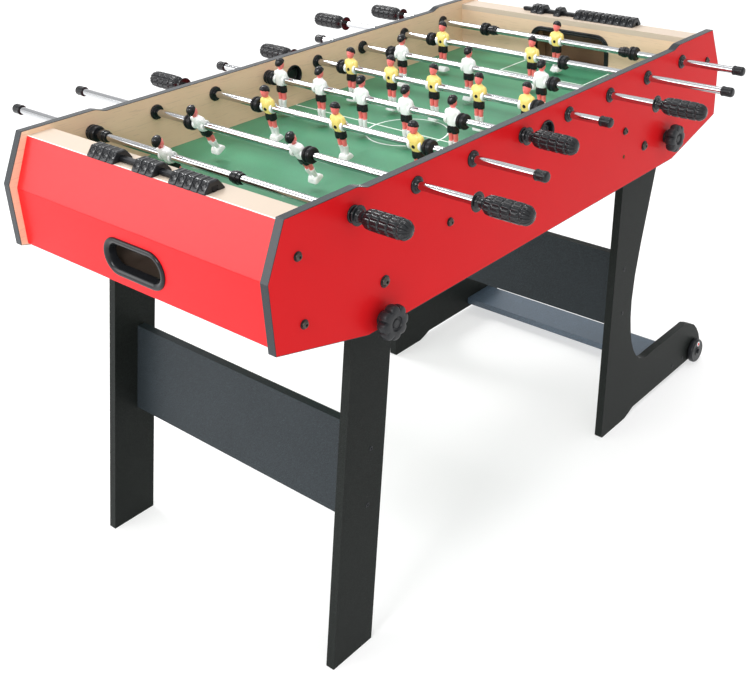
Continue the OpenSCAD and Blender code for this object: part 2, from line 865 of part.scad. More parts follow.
placed() side_panel_right();
placed() side_panel_left();
placed() edge_bands();
placed() upper_end_panels();
placed() lower_end_panels();
placed() end_ledges();
placed() inner_end_walls();
placed() goal_frames();
placed() return_bezels();
placed() ball_trays();
placed() playfield();
placed() support_timbers();
placed() rod_bearings();
placed() entry_rings();
placed() cap_bolts();
placed() score_rails();
placed() loose_bumpers();
placed() leg_planks();
placed() leg_cross_panel();
placed() leg_screws();
placed() boot_plates();
placed() boot_cross_panel();
placed() foot_shelf();
placed() boot_hardware();
placed() caster_right();
placed() caster_left();
placed() knob_near_right();
placed() knob_near_left();
placed() knob_far_right();
placed() knob_far_left();
placed() rod(0);  // rod_1
placed() rod(1);  // rod_2
placed() rod(2);  // rod_3
placed() rod(3);  // rod_4
placed() rod(4);  // rod_5
placed() rod(5);  // rod_6
placed() rod(6);  // rod_7
placed() rod(7);  // rod_8
placed() figures(0);  // figures_1
placed() figures(1);  // figures_2
placed() figures(2);  // figures_3
placed() figures(3);  // figures_4
placed() figures(4);  // figures_5
placed() figures(5);  // figures_6
placed() figures(6);  // figures_7
placed() figures(7);  // figures_8
placed() fittings(0);  // fittings_1
placed() fittings(1);  // fittings_2
placed() fittings(2);  // fittings_3
placed() fittings(3);  // fittings_4
placed() fittings(4);  // fittings_5
placed() fittings(5);  // fittings_6
placed() fittings(6);  // fittings_7
placed() fittings(7);  // fittings_8
placed() bead_pack(near_packs[0], -1);  // beads_near_1
placed() bead_pack(near_packs[1], -1);  // beads_near_2
placed() bead_pack(near_packs[2], -1);  // beads_near_3
placed() bead_pack(far_packs[0], 1);  // beads_far_1
placed() bead_pack(far_packs[1], 1);  // beads_far_2
placed() bead_pack(far_packs[2], 1);  // beads_far_3
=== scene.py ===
"""Folding foosball table: the looks of a table whose frame is a fixed CAD model.

All lengths in the shapes are millimetres from the middle of the field, floor at z = 0, X along the table.
place() turns them into metres in the frame of the whole object.
"""

import math

import bmesh
import bpy
import numpy as np
from mathutils import Matrix, Vector


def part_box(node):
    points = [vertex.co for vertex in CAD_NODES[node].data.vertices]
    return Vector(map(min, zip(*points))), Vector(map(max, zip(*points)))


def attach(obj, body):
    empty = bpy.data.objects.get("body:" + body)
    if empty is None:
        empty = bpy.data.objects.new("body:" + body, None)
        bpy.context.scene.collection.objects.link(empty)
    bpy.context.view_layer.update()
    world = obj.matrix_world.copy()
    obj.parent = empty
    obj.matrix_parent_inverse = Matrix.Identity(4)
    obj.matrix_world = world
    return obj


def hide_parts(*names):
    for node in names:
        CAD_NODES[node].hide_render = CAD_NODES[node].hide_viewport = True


bl_info = {
    "name": "Foosball table looks",
    "version": (1, 0, 0),
    "blender": (4, 5, 0),
    "location": "3D View > Sidebar > Foosball",
    "description": "Boards, fittings, figures and finishes of a folding foosball table",
    "category": "Object",
}

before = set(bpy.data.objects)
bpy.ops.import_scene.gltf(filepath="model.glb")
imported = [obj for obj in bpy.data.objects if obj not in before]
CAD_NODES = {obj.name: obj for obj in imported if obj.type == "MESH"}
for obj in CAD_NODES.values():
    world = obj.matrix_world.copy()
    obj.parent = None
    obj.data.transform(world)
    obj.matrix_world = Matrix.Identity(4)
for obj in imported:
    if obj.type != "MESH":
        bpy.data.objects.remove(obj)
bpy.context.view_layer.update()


def node_box(node):
    """Lowest and highest corner of a CAD node in millimetres, as two arrays."""
    low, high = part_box(node)
    return np.array(low) * 1000, np.array(high) * 1000


FIELD_LOW, FIELD_HIGH = node_box("playfield")
MIDDLE = np.array([(FIELD_LOW[0] + FIELD_HIGH[0]) / 2, (FIELD_LOW[1] + FIELD_HIGH[1]) / 2, 0.0])
FIELD_TOP = FIELD_HIGH[2]
WALL_X = (FIELD_HIGH[0] - FIELD_LOW[0]) / 2
INNER_Y = (FIELD_HIGH[1] - FIELD_LOW[1]) / 2
OUTER_Y = node_box("side_panel_left")[1][1] - MIDDLE[1]
LEDGE_TOP = node_box("end_ledges")[1][2]
RODS = range(1, 9)
ENDS = (1, -1)
SIDES = (-1, 1)
HANDS = ((-1, "right"), (1, "left"))
TABLE_ENDS = ("near", "far")


def node_axis(node):
    """X and Z of the middle of a CAD node, from the middle of the field."""
    low, high = node_box(node)
    return (low[0] + high[0]) / 2 - MIDDLE[0], (low[2] + high[2]) / 2


def rod_ends(rod):
    """(side of the grip as 1 or -1, tip of the grip, tip of the end cap) along Y.
    The grip stands further past the tube than the cap does."""
    tube_low, tube_high = (corner[1] - MIDDLE[1] for corner in node_box(f"rod_{rod}"))
    low, high = (corner[1] - MIDDLE[1] for corner in node_box(f"fittings_{rod}"))
    if high - tube_high > tube_low - low:
        return 1, high, low
    return -1, low, high


def team_middle(rod):
    """Y of the middle of a rod's figures."""
    low, high = node_box(f"figures_{rod}")
    return (low[1] + high[1]) / 2 - MIDDLE[1]


# ---------------------------------------------------------------- sizes and colours a user may change


def colour_property(name, description, default):
    return bpy.props.FloatVectorProperty(
        name=name, description=description, subtype="COLOR", size=3, min=0, max=1, default=default
    )


def number_property(name, description, default, low, high):
    return bpy.props.FloatProperty(name=name, description=description, default=default, min=low, max=high)


def count_property(name, description, default, low, high):
    return bpy.props.IntProperty(name=name, description=description, default=default, min=low, max=high)


def angle_property(name, description, degrees):
    return bpy.props.FloatProperty(
        name=name, description=description, subtype="ANGLE", unit="ROTATION", default=math.radians(degrees)
    )


class FOOSBALL_PG_colours(bpy.types.PropertyGroup):
    """Base colours of the finishes."""

    red: colour_property("Red laminate", "Outside of the side and end panels", (0.74, 0.012, 0.016))
    maple: colour_property("Maple foil", "Inside of the panels and the end walls", (0.725, 0.53, 0.37))
    cream: colour_property("Cream board", "Ledges at both ends", (0.575, 0.475, 0.38))
    band: colour_property("Edge band", "Strip round the side panels", (0.013, 0.018, 0.023))
    green: colour_property("Field green", "Playing surface", (0.055, 0.243, 0.130))
    board: colour_property("Leg board", "Splayed legs and boot legs", (0.0125, 0.0145, 0.0135))
    panel: colour_property("Cross board", "Boards across the legs", (0.020, 0.0255, 0.0295))
    shelf: colour_property("Foot board", "Shelf between the boot legs", (0.054, 0.082, 0.115))
    black: colour_property("Black plastic", "Grips, bearings, knobs and beads", (0.012, 0.013, 0.015))
    white_team: colour_property("White team", "Shirts of the white figures", (0.86, 0.87, 0.87))
    yellow_team: colour_property("Yellow team", "Shirts of the yellow figures", (0.90, 0.70, 0.20))
    skin: colour_property("Figure skin", "Faces and knees of all figures", (1.0, 0.20, 0.19))


class FOOSBALL_PG_sizes(bpy.types.PropertyGroup):
    """Sizes of what is finer than the frame, in millimetres."""

    board_edge: number_property("Board edge", "Rounding of the board edges", 0.6, 0.1, 2.0)
    grip_groove: number_property("Grip groove", "Depth of the grooves of a grip", 1.7, 0.2, 3.0)
    grip_rings: count_property("Grip rings", "Rows of pads of a grip", 5, 2, 12)
    grip_ribs: count_property("Grip ribs", "Pads round a grip", 12, 4, 24)
    knob_lobes: count_property("Knob lobes", "Lobes round a knob", 8, 3, 12)
    knob_notch: number_property("Knob notch", "Depth between two lobes", 5.0, 1.0, 8.0)
    line: number_property("Field line", "Width of the white lines", 3.0, 1.0, 6.0)
    circle: number_property("Centre circle", "Radius of the centre circle", 76.0, 40.0, 120.0)
    box_front: number_property("Penalty box front", "Distance from the middle", 435.0, 300.0, 520.0)
    box_half: number_property("Penalty box half width", "Half width of the box", 104.0, 60.0, 200.0)


class FOOSBALL_PG_stage(bpy.types.PropertyGroup):
    """Camera and light."""

    eye: bpy.props.FloatVectorProperty(
        name="Camera place", description="From the middle of the field, on the floor", subtype="TRANSLATION",
        unit="LENGTH", size=3, default=(-1.5028, -1.30143, 1.35562),
    )
    yaw: angle_property("Yaw", "From +Y towards +X", 49.908)
    pitch: angle_property("Pitch", "Above the horizon", -21.846)
    roll: angle_property("Roll", "About the view", -1.565)
    lens: number_property("Lens", "On a 36 mm wide sensor", 54.755, 20, 200)
    shift: bpy.props.FloatVectorProperty(
        name="Shift", description="Of the view, in widths", size=2, default=(-0.06455, -0.2)
    )
    key: bpy.props.FloatProperty(
        name="Key light", description="Power of the key", default=58.0, min=0, unit="POWER"
    )
    fill: bpy.props.FloatProperty(name="Sky", description="Strength of the sky overhead", default=1.1, min=0)


# ---------------------------------------------------------------- finishes


class Wire:
    """A value in a node tree. Arithmetic on it adds Math nodes."""

    def __init__(self, finish, socket):
        self.finish, self.socket = finish, socket

    def math(self, operation, *values):
        return self.finish.node("ShaderNodeMath", {"operation": operation}, dict(enumerate(values)))

    def __add__(self, other):
        return self.math("ADD", self, other)

    def __radd__(self, other):
        return self.math("ADD", other, self)

    def __sub__(self, other):
        return self.math("SUBTRACT", self, other)

    def __rsub__(self, other):
        return self.math("SUBTRACT", other, self)

    def __mul__(self, other):
        return self.math("MULTIPLY", self, other)

    def __rmul__(self, other):
        return self.math("MULTIPLY", other, self)

    def __pow__(self, other):
        return self.math("POWER", self, other)

    def __lt__(self, other):
        return self.math("LESS_THAN", self, other)

    def __gt__(self, other):
        return self.math("GREATER_THAN", self, other)

    def __or__(self, other):
        return self.math("MAXIMUM", self, other)

    def __abs__(self):
        return self.math("ABSOLUTE", self)


class Finish:
    """One material: a Principled shader whose colour, roughness and bump come from patterns in the frame's
    own metres."""

    def __init__(self, name, **fixed):
        self.material = bpy.data.materials.new(name)
        self.material.use_nodes = True
        self.tree = self.material.node_tree
        self.tree.nodes.clear()
        self.shader = self.tree.nodes.new("ShaderNodeBsdfPrincipled")
        output = self.tree.nodes.new("ShaderNodeOutputMaterial")
        self.tree.links.new(self.shader.outputs[0], output.inputs["Surface"])
        for socket, value in fixed.items():
            self.shader.inputs[socket.replace("_", " ")].default_value = value

    def node(self, kind, settings=None, sockets=None, out=0):
        """Adds a node: its settings first, then a value or a link for each named socket."""
        made = self.tree.nodes.new(kind)
        for name, value in (settings or {}).items():
            if name == "stops":
                ramp = made.color_ramp.elements
                ramp[0].position, ramp[0].color = value[0][0], (*value[0][1], 1)
                ramp[1].position, ramp[1].color = value[-1][0], (*value[-1][1], 1)
                for position, colour in value[1:-1]:
                    ramp.new(position).color = (*colour, 1)
            else:
                setattr(made, name, value)
        for name, value in (sockets or {}).items():
            if isinstance(value, Wire):
                self.tree.links.new(value.socket, made.inputs[name])
            else:
                made.inputs[name].default_value = value
        return Wire(self, made.outputs[out])

    def here(self, scale=(1, 1, 1)):
        """Object coordinates from the middle of the field, stretched by scale."""
        point = self.node("ShaderNodeTexCoord", out="Object")
        moved = self.node(
            "ShaderNodeMapping", {"vector_type": "POINT"},
            {"Vector": point, "Location": tuple(-0.001 * MIDDLE)},
        )
        return self.node("ShaderNodeMapping", {"vector_type": "POINT"}, {"Vector": moved, "Scale": scale})

    def axes(self):
        """X, Y and Z in millimetres from the middle of the field."""
        split = self.node("ShaderNodeSeparateXYZ", None, {0: self.here()})
        outputs = split.socket.node.outputs
        return [Wire(self, outputs[k]) * 1000.0 for k in range(3)]

    def noise(self, scale, detail=2.0, stretch=(1, 1, 1), rough=0.55):
        """Fractal noise between 0 and 1 with about 1 / scale metres from lump to lump."""
        return self.node(
            "ShaderNodeTexNoise", {"noise_dimensions": "3D"},
            {"Vector": self.here(stretch), "Scale": scale, "Detail": detail, "Roughness": rough},
        )

    def mix(self, factor, first, second):
        """The first colour where factor is 0 and the second where it is 1."""
        colours = [c if isinstance(c, Wire) else (*c, 1) for c in (first, second)]
        return self.node(
            "ShaderNodeMix", {"data_type": "RGBA", "clamp_factor": True},
            {0: factor, 6: colours[0], 7: colours[1]}, out=2,
        )

    def feed(self, socket, value):
        self.tree.links.new(value.socket, self.shader.inputs[socket])

    def bump(self, height, distance):
        """Bump of that many millimetres from a height between 0 and 1."""
        relief = {"Height": height, "Distance": distance / 1000}
        self.feed("Normal", self.node("ShaderNodeBump", None, relief))


def shade(colour, factor):
    return tuple(min(1.0, float(c) * factor) for c in colour)


def moulded(name, colour, roughness=0.3, grain=900.0, mottle=0.12, relief=0.03, **fixed):
    """Moulded plastic: a slow noise moves the colour, a fine one the gloss and a shallow orange-peel bump."""
    finish = Finish(name, **fixed)
    slow, fine = finish.noise(35.0, 3), finish.noise(grain, 2)
    finish.feed("Base Color", finish.mix(slow, shade(colour, 1 - mottle), shade(colour, 1 + mottle)))
    finish.feed("Roughness", fine * 0.12 + slow * 0.08 + (roughness - 0.1))
    finish.bump(fine, relief)
    return finish.material


def laminate(finish, colour, roughness, relief=0.04):
    """Colour of a pressed laminate: even, with a faint cloud and a fine grain. Also sets gloss and bump."""
    cloud, grain = finish.noise(6.0, 3), finish.noise(1400.0, 2)
    finish.feed("Roughness", grain * 0.14 + cloud * 0.06 + (roughness - 0.1))
    finish.bump(grain, relief)
    soft = finish.mix(cloud, shade(colour, 0.95), shade(colour, 1.05))
    return finish.mix(grain * 0.5, soft, shade(colour, 0.86))


def wood_foil(finish, colour, along=(0.06, 1, 1)):
    """Light wood: slow bands and short dark pores stretched along the board."""
    band = finish.noise(28.0, 5, along, 0.6)
    pore = finish.noise(420.0, 2, along)
    base = finish.mix(band, shade(colour, 0.84), shade(colour, 1.12))
    return finish.mix((pore > 0.62) * 0.22, base, shade(colour, 0.55))


class Palette:
    """Every finish of the table by the name it is asked for."""

    def __init__(self, colours, sizes):
        self.made = {}
        self.colours, self.sizes = colours, sizes

    def __getitem__(self, name):
        if name not in self.made:
            self.made[name] = getattr(self, name)()
        return self.made[name]

    def red(self):
        return self.end_board("red_laminate", 0.16)

    def red_upper(self):
        return self.end_board("red_laminate_upper", 0.36)

    def end_board(self, name, gloss):
        """Red outside and bare brown board inside, told apart by the distance from the outer face, whose
        line in the X-Z plane goes from the lower corner over the crease to the ledge."""
        finish = Finish(name, Specular_IOR_Level=gloss)
        red = laminate(finish, self.colours.red, 0.34)
        low, high = node_box("upper_end_panels")
        lower = node_box("lower_end_panels")[0][2]
        crease, ledge = high[0] - MIDDLE[0], node_box("end_ledges")[1][0] - MIDDLE[0]
        x, _, z = finish.axes()
        lean = (z - low[2]) * (1 / (high[2] - low[2]))
        drop = (z - lower) * (1 / (low[2] - lower))
        face = crease - (lean | 0.0) * (crease - ledge) - ((1 - drop) | 0.0) * 3.0
        inside = wood_foil(finish, (0.16, 0.10, 0.055), (1, 0.08, 1))
        finish.feed("Base Color", finish.mix((face - abs(x)) > 6.0, red, inside))
        return finish.material

    def side(self):
        """Red outside, maple inside, bare chipboard in the middle of the thickness. The red is painted darker
        than on the end boards as painted shade of the side faces; the maple is painted lighter than on the
        end walls, partly as a redder tone and partly as painted light on the inner faces.
        """
        finish = Finish("side_panel_laminate", Specular_IOR_Level=0.07)
        # Painted shade: the red of the side panels is painted 0.89 times as dark as on the end boards, for
        # the side faces that the light reaches less.
        red = laminate(finish, shade(self.colours.red, 0.89), 0.3)
        # Painted light: the maple on the inner faces of the side panels is painted lighter than on the end
        # walls, a slightly redder tone of the wood and mostly light on these faces.
        inside = wood_foil(finish, np.array(self.colours.maple) * (1.3, 1.22, 1.21))
        chips = finish.mix(finish.noise(500.0, 3), (0.20, 0.12, 0.06), (0.45, 0.31, 0.18))
        depth = OUTER_Y - abs(finish.axes()[1])
        core = (depth > 0.4) * (depth < (OUTER_Y - INNER_Y - 0.4))
        face = finish.mix(depth > 7.0, red, inside)
        finish.feed("Base Color", finish.mix(core, face, chips))
        return finish.material

    def maple(self):
        finish = Finish("maple_foil", Roughness=0.45)
        finish.feed("Base Color", wood_foil(finish, self.colours.maple, (1, 0.06, 1)))
        finish.bump(finish.noise(500.0, 2, (1, 0.06, 1)), 0.03)
        return finish.material

    def cream(self):
        """Cream board with a pale line along its outer edge."""
        finish = Finish("cream_board")
        cream = laminate(finish, self.colours.cream, 0.42)
        along = finish.noise(30.0, 4, (1, 0.08, 1))
        cream = finish.mix(along * 0.18, cream, shade(self.colours.cream, 0.8))
        outer = node_box("end_ledges")[1][0] - MIDDLE[0]
        edge = abs(finish.axes()[0]) > (outer - 2.4)
        finish.feed("Base Color", finish.mix(edge, cream, (0.93, 0.90, 0.84)))
        return finish.material

    def band(self):
        finish = Finish("edge_band", Specular_IOR_Level=0.36)
        finish.feed("Base Color", laminate(finish, self.colours.band, 0.24, 0.02))
        return finish.material

    def board(self):
        return self.charcoal("charcoal_board", self.colours.board, 0.07)

    def panel(self):
        return self.charcoal("charcoal_panel", self.colours.panel, 0.16)

    def shelf(self):
        return self.charcoal("foot_board", self.colours.shelf, 0.7)

    def charcoal(self, name, colour, gloss):
        """Charcoal board: light and dark specks over a slow cloud."""
        finish = Finish(name, Specular_IOR_Level=gloss)
        cloud, speck = finish.noise(9.0, 3), finish.noise(1100.0, 3)
        base = finish.mix(cloud, shade(colour, 0.8), shade(colour, 1.25))
        pale = finish.mix(speck > 0.58, base, shade(colour, 2.3))
        finish.feed("Base Color", finish.mix(speck < 0.40, pale, shade(colour, 0.45)))
        finish.feed("Roughness", speck * 0.2 + 0.32)
        finish.bump(speck, 0.05)
        return finish.material

    def plain_wood(self):
        finish = Finish("plain_board", Roughness=0.6)
        finish.feed("Base Color", wood_foil(finish, (0.40, 0.27, 0.15), (1, 0.08, 1)))
        return finish.material

    def field(self):
        """Green board printed with mown stripes and white lines."""
        sizes, green = self.sizes, self.colours.green
        finish = Finish("green_field")
        x, y, _ = finish.axes()
        far = abs(x)
        half = sizes.line / 2
        radius = (x * x + y * y) ** 0.5
        lines = (far < half) | (abs(radius - sizes.circle) < half) | (radius < 5.0)
        front = (abs(far - sizes.box_front) < half) * (abs(y) < sizes.box_half + half)
        flank = (abs(abs(y) - sizes.box_half) < half) * (far > sizes.box_front)
        spot = (far - (sizes.box_front + 50)) ** 2 + y * y < 16.0
        lines = lines | front | flank | spot
        cloud = finish.noise(11.0, 4, (1, 0.45, 1))
        blade = finish.noise(900.0, 2, (1, 0.25, 1))
        stripe = x.math("SINE", x * (math.pi / 42.0)) * 0.5 + 0.5
        base = finish.mix(cloud, shade(green, 0.68), shade(green, 1.32))
        base = finish.mix(stripe * 0.35, base, shade(green, 0.74))
        base = finish.mix((blade > 0.6) * 0.25, base, shade(green, 1.7))
        finish.feed("Base Color", finish.mix(lines, base, (0.86, 0.9, 0.87)))
        finish.feed("Roughness", blade * 0.16 + 0.34)
        finish.bump(blade, 0.04)
        return finish.material

    def chrome(self):
        finish = Finish("chrome_tube", Metallic=1.0)
        smear = finish.noise(60.0, 3, (1, 0.1, 1))
        finish.feed("Base Color", finish.mix(smear, (0.50, 0.51, 0.53), (0.64, 0.65, 0.66)))
        finish.feed("Roughness", smear * 0.06 + 0.08)
        return finish.material

    def ink(self, name, lift, roughness, **fixed):
        """Black plastic or rubber, as glossy as its roughness says."""
        fixed.setdefault("Specular_IOR_Level", 0.3)
        return moulded(name, shade(self.colours.black, lift), roughness, 1400.0, 0.2, 0.015, **fixed)

    def grip(self):
        return self.ink("grip_plastic", 0.9, 0.17, Specular_IOR_Level=0.36)

    def bearing(self):
        return self.ink("bearing_plastic", 0.9, 0.24)

    def rubber(self):
        return self.ink("bumper_rubber", 1.0, 0.3, Specular_IOR_Level=0.24)

    def knob(self):
        return self.ink("knob_plastic", 1.3, 0.36)

    def bead(self):
        return self.ink("bead_plastic", 1.1, 0.18, Specular_IOR_Level=0.36)

    def trim(self):
        return self.ink("black_trim", 0.9, 0.2)

    def steel(self):
        return self.ink("black_steel", 1.6, 0.34, Metallic=0.6)

    def caster(self):
        return self.ink("caster_plastic", 1.3, 0.36)

    def white(self):
        return moulded("figure_white", self.colours.white_team, 0.34, 1400.0, 0.03, 0.02, Coat_Weight=0.15)

    def yellow(self):
        return moulded("figure_yellow", self.colours.yellow_team, 0.34, 1400.0, 0.05, 0.02, Coat_Weight=0.15)

    def skin(self):
        return moulded("figure_skin", self.colours.skin, 0.36, 1400.0, 0.07, 0.02, Coat_Weight=0.1)

    def figure_black(self):
        return self.ink("figure_black", 0.9, 0.2)

    def cup(self):
        return moulded("dark_cup", (0.06, 0.042, 0.032), 0.4, 900.0, 0.25, 0.05)

    def bolt_head(self):
        return moulded("browned_steel", (0.075, 0.066, 0.058), 0.3, 2000.0, 0.3, 0.02, Metallic=0.7)

    # Painted reflection: the red of the disc on top of a toe wheel, standing for a red reflection on the
    # black wheel.
    def painted_red_reflection(self):
        return moulded("painted_red_reflection", (0.75, 0.015, 0.02), 0.3)


# ---------------------------------------------------------------- surfaces as arrays


def rounded(corners, steps=5, closed=False):
    """A line through the corners (a, b, c): each corner is replaced by the quadratic curve from the point c
    before it to the point c after it, (1 - t)^2 A + 2 t (1 - t) P + t^2 B. Points that fall together are
    kept once."""
    table = np.array(corners, float)
    point, cut = table[:, :2], table[:, 2:3].copy()
    back, on = np.roll(point, 1, 0) - point, np.roll(point, -1, 0) - point
    back /= np.linalg.norm(back, axis=1, keepdims=True)
    on /= np.linalg.norm(on, axis=1, keepdims=True)
    if not closed:
        cut[[0, -1]] = 0
    t = np.linspace(0, 1, steps)[None, :, None]
    first, last, mid = (point + back * cut)[:, None], (point + on * cut)[:, None], point[:, None]
    line = ((1 - t) ** 2 * first + 2 * t * (1 - t) * mid + t**2 * last).reshape(-1, 2)
    gap = np.linalg.norm(line - np.roll(line, 1, 0), axis=1)
    if not closed:
        gap[0] = 1
    return line[gap > 1e-4]


def skin(rings, closed_along=False, lids=True):
    """Quads between neighbouring rows of a grid of points (rows, round, 3) that is closed round. The first
    and last rows are closed with fans to their middles, or the rows go round too. Faces are turned outwards
    by the sign of the volume they enclose."""
    rows, around, _ = rings.shape
    points = rings.reshape(-1, 3)
    i = np.arange(rows if closed_along else rows - 1)[:, None]
    j = np.arange(around)[None, :]
    nxt, up = (j + 1) % around, ((i + 1) % rows) * around
    quads = np.stack([i * around + j, i * around + nxt, up + nxt, up + j], -1).reshape(-1, 4)
    fans = np.zeros((0, 3), int)
    if lids and not closed_along:
        k, turn = np.arange(around), (np.arange(around) + 1) % around
        last = (rows - 1) * around
        fans = np.concatenate([
            np.stack([np.full(around, len(points)), turn, k], -1),
            np.stack([np.full(around, len(points) + 1), last + k, last + turn], -1),
        ])
        points = np.concatenate([points, rings[[0, -1]].mean(1)])
    corners = np.concatenate([quads[:, [0, 1, 2]], quads[:, [0, 2, 3]], fans])
    a, b, c = (points[corners[:, n]] for n in range(3))
    if np.einsum("ij,ij->i", a, np.cross(b, c)).sum() < 0:
        quads, fans = quads[:, ::-1], fans[:, ::-1]
    return points, quads, fans


def axis_frame(axis):
    """Two unit vectors across a level axis and the axis itself."""
    along = np.array(axis, float)
    first = np.cross((0, 0, 1.0), along)
    first /= np.linalg.norm(first)
    return first, np.cross(along, first), along


def lathe(profile, at, axis=(0, 1, 0), around=40, relief=None, ring=False):
    """A profile (radius, height) turned about an axis: at + h axis + r (cos t U + sin t V).
    relief(t, r, h) gives what is added to the radius. A ring's profile is closed and has no lids."""
    radius, height = profile[:, 0][:, None], profile[:, 1][:, None]
    t = np.linspace(0, 2 * np.pi, around, endpoint=False)[None, :]
    radius = radius + (relief(t, radius, height) if relief else 0 * t)
    u, v, w = axis_frame(axis)
    rings = np.array(at, float) + height[..., None] * w + radius[..., None] * (
        np.cos(t)[..., None] * u + np.sin(t)[..., None] * v
    )
    return skin(rings, closed_along=ring)


def loft(sections, around=24, bend=None):
    """Level sections stacked in Z. A row is (z, middle x, middle y, half depth, half width, power) and its
    ring is the superellipse x = cx + a sign(cos t) |cos t|^(2/p), y = cy + b sign(sin t) |sin t|^(2/p).
    bend(t, x, y, z) may move the points."""
    z, cx, cy, a, b, p = (column[:, None] for column in np.array(sections, float).T)
    t = np.linspace(0, 2 * np.pi, around, endpoint=False)[None, :]
    c, s = np.cos(t), np.sin(t)
    x = cx + a * np.sign(c) * np.abs(c) ** (2 / p)
    y = cy + b * np.sign(s) * np.abs(s) ** (2 / p)
    z = z + 0 * t
    if bend:
        x, y, z = bend(t, x, y, z)
    return skin(np.stack([x, y, z], -1))


def smooth_sections(rows, count):
    """Rows of numbers resampled by a Catmull-Rom curve, evenly in the row number."""
    table = np.array(rows, float)
    padded = np.concatenate([2 * table[:1] - table[1:2], table, 2 * table[-1:] - table[-2:-1]])
    s = np.linspace(0, len(table) - 1 - 1e-9, count)
    k = s.astype(int)
    t = (s - k)[:, None]
    p0, p1, p2, p3 = (padded[k + n] for n in range(4))
    square, cube = 2 * p0 - 5 * p1 + 4 * p2 - p3, 3 * p1 - p0 - 3 * p2 + p3
    return 0.5 * (2 * p1 + (p2 - p0) * t + square * t**2 + cube * t**3)


def carried(path, outward, depth, section, closed):
    """A section (offset, depth) carried along a path: path + offset outward + depth depth-direction."""
    offset, depths = section[None, :, :1] * outward[:, None], section[None, :, 1:] * np.array(depth)
    return skin(path[:, None] + offset + depths, closed_along=closed)


def moved(part, by, turn):
    """A part turned by a 3 x 3 matrix and then shifted."""
    points, quads, fans = part
    return points @ turn.T + np.array(by, float), quads, fans


def mirrored(part, axis):
    """A part mirrored in the middle of the field, with its faces turned back outwards."""
    points, quads, fans = part
    flip = np.ones(3)
    flip[axis] = -1
    return points * flip, quads[:, ::-1], fans[:, ::-1]


def piece(name, parts, body, replaces=(), sharp=32):
    """One mesh object from parts (surface, material), in metres in the frame of the whole object, riding on
    a body."""
    points, faces, slots, materials, base = [], [], [], [], 0
    for (own, quads, fans), material in parts:
        if material not in materials:
            materials.append(material)
        points.append(own)
        faces += (quads + base).tolist() + (fans + base).tolist()
        slots.append(np.full(len(quads) + len(fans), materials.index(material)))
        base += len(own)
    mesh = bpy.data.meshes.new(name)
    mesh.from_pydata(place(np.concatenate(points)).tolist(), [], faces)
    dressed(name, mesh, materials, body, replaces, sharp, np.concatenate(slots))


def dressed(name, mesh, materials, body, replaces, sharp, slots=None):
    """Links a finished mesh, shades it smooth up to an angle, gives it its materials, ties it to its body and
    hides the CAD nodes it replaces.
    """
    mesh.polygons.foreach_set("use_smooth", np.ones(len(mesh.polygons), bool))
    mesh.set_sharp_from_angle(angle=math.radians(sharp))
    mesh.materials.clear()
    for material in materials:
        mesh.materials.append(material)
    if slots is not None:
        mesh.polygons.foreach_set("material_index", slots.astype(np.int32))
    made = bpy.data.objects.new(name, mesh)
    bpy.context.scene.collection.objects.link(made)
    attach(made, body)
    if replaces:
        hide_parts(*replaces)
    return made


def place(points):
    """Millimetres from the middle of the field to metres in the frame of the whole object."""
    return (points + MIDDLE) * 0.001


def eased_board(node, name, material, body, edge):
    """A board as in the frame, with its long edges rounded: the node's triangles are merged in a copy, flat
    faces are joined, and a bevel rounds every edge over 30 degrees."""
    mesh = CAD_NODES[node].data.copy()
    mesh.name = name
    work = bmesh.new()
    work.from_mesh(mesh)
    bmesh.ops.remove_doubles(work, verts=work.verts, dist=2e-6)
    bmesh.ops.dissolve_limit(work, angle_limit=0.004, verts=work.verts, edges=work.edges)
    work.to_mesh(mesh)
    work.free()
    made = dressed(name, mesh, [material], body, (node,), 30)
    bevel = made.modifiers.new("eased edges", "BEVEL")
    bevel.width, bevel.segments, bevel.limit_method = edge / 1000, 2, "ANGLE"
    bevel.angle_limit, bevel.harden_normals = math.radians(30), True


def finished(node, material):
    """A CAD node that stays as it is, with its material."""
    shown = CAD_NODES[node]
    shown.data.materials.clear()
    shown.data.materials.append(material)


# ---------------------------------------------------------------- shapes of the table's own pieces

BUMPER = dict(outer=14.0, groove=11.2, bore=6.6, half=8.0)
MEN = {1: (0,), 2: (-118, 118), 3: (-170, 0, 170), 4: (-208, -104, 0, 104, 208), 5: (-208, -104, 0, 104, 208),
       6: (-170, 0, 170), 7: (-114, 114), 8: (0,)}
BUMPERS = {1: (), 2: (-142, 142), 3: (-197, 197), 4: (-230, 230), 5: (-230, 230), 6: (-197, 197),
           7: (-189, 143),
           8: (-184, 184)}
COLLARS = {1: (-163, 163), 8: (-163, 163)}
TURNED = {1: 30, 2: 30, 3: 12}
WHITE_RODS = (1, 2, 4, 6)
# (x, z, size of the head, depth of the shank) of the bolts in each side panel
CAP_BOLTS = [(s * x, z, 6.0, 36.0) for s in ENDS for x, z in ((578, 729), (575, 628), (260, 667))]
SPLAY_X, SPLAY_Z, SPLAY_LEAN = -412, 627, 0.15
LEG_BOLTS = [(SPLAY_X, SPLAY_Z, 8.0, 33.0), (335, 617, 8.0, 33.0)]
# (x, z) of the screws in each splayed plank and in each boot
PLANK_SCREWS = [(SPLAY_X - (SPLAY_Z - z) * SPLAY_LEAN + 13.0, z) for z in (256, 351)]
BOOT_SCREWS = ((310.5, 360), (310.5, 263), (546, 29.5), (592, 29.5))
# height of a ball return's middle and half the straight stretch of its slot
RETURN_Z, RETURN_HALF = 648.0, 39.5
# (y of the first bead, number of beads) of the runs in each pack
BEAD_PITCH = 16.0
PACKS = {
    ("near", 1): ((72, 4),), ("near", 2): ((-20, 3),), ("near", 3): ((-135, 5),),
    ("far", 1): ((86, 2),), ("far", 2): ((42, 1),), ("far", 3): ((-57, 4), (-138, 5)),
}


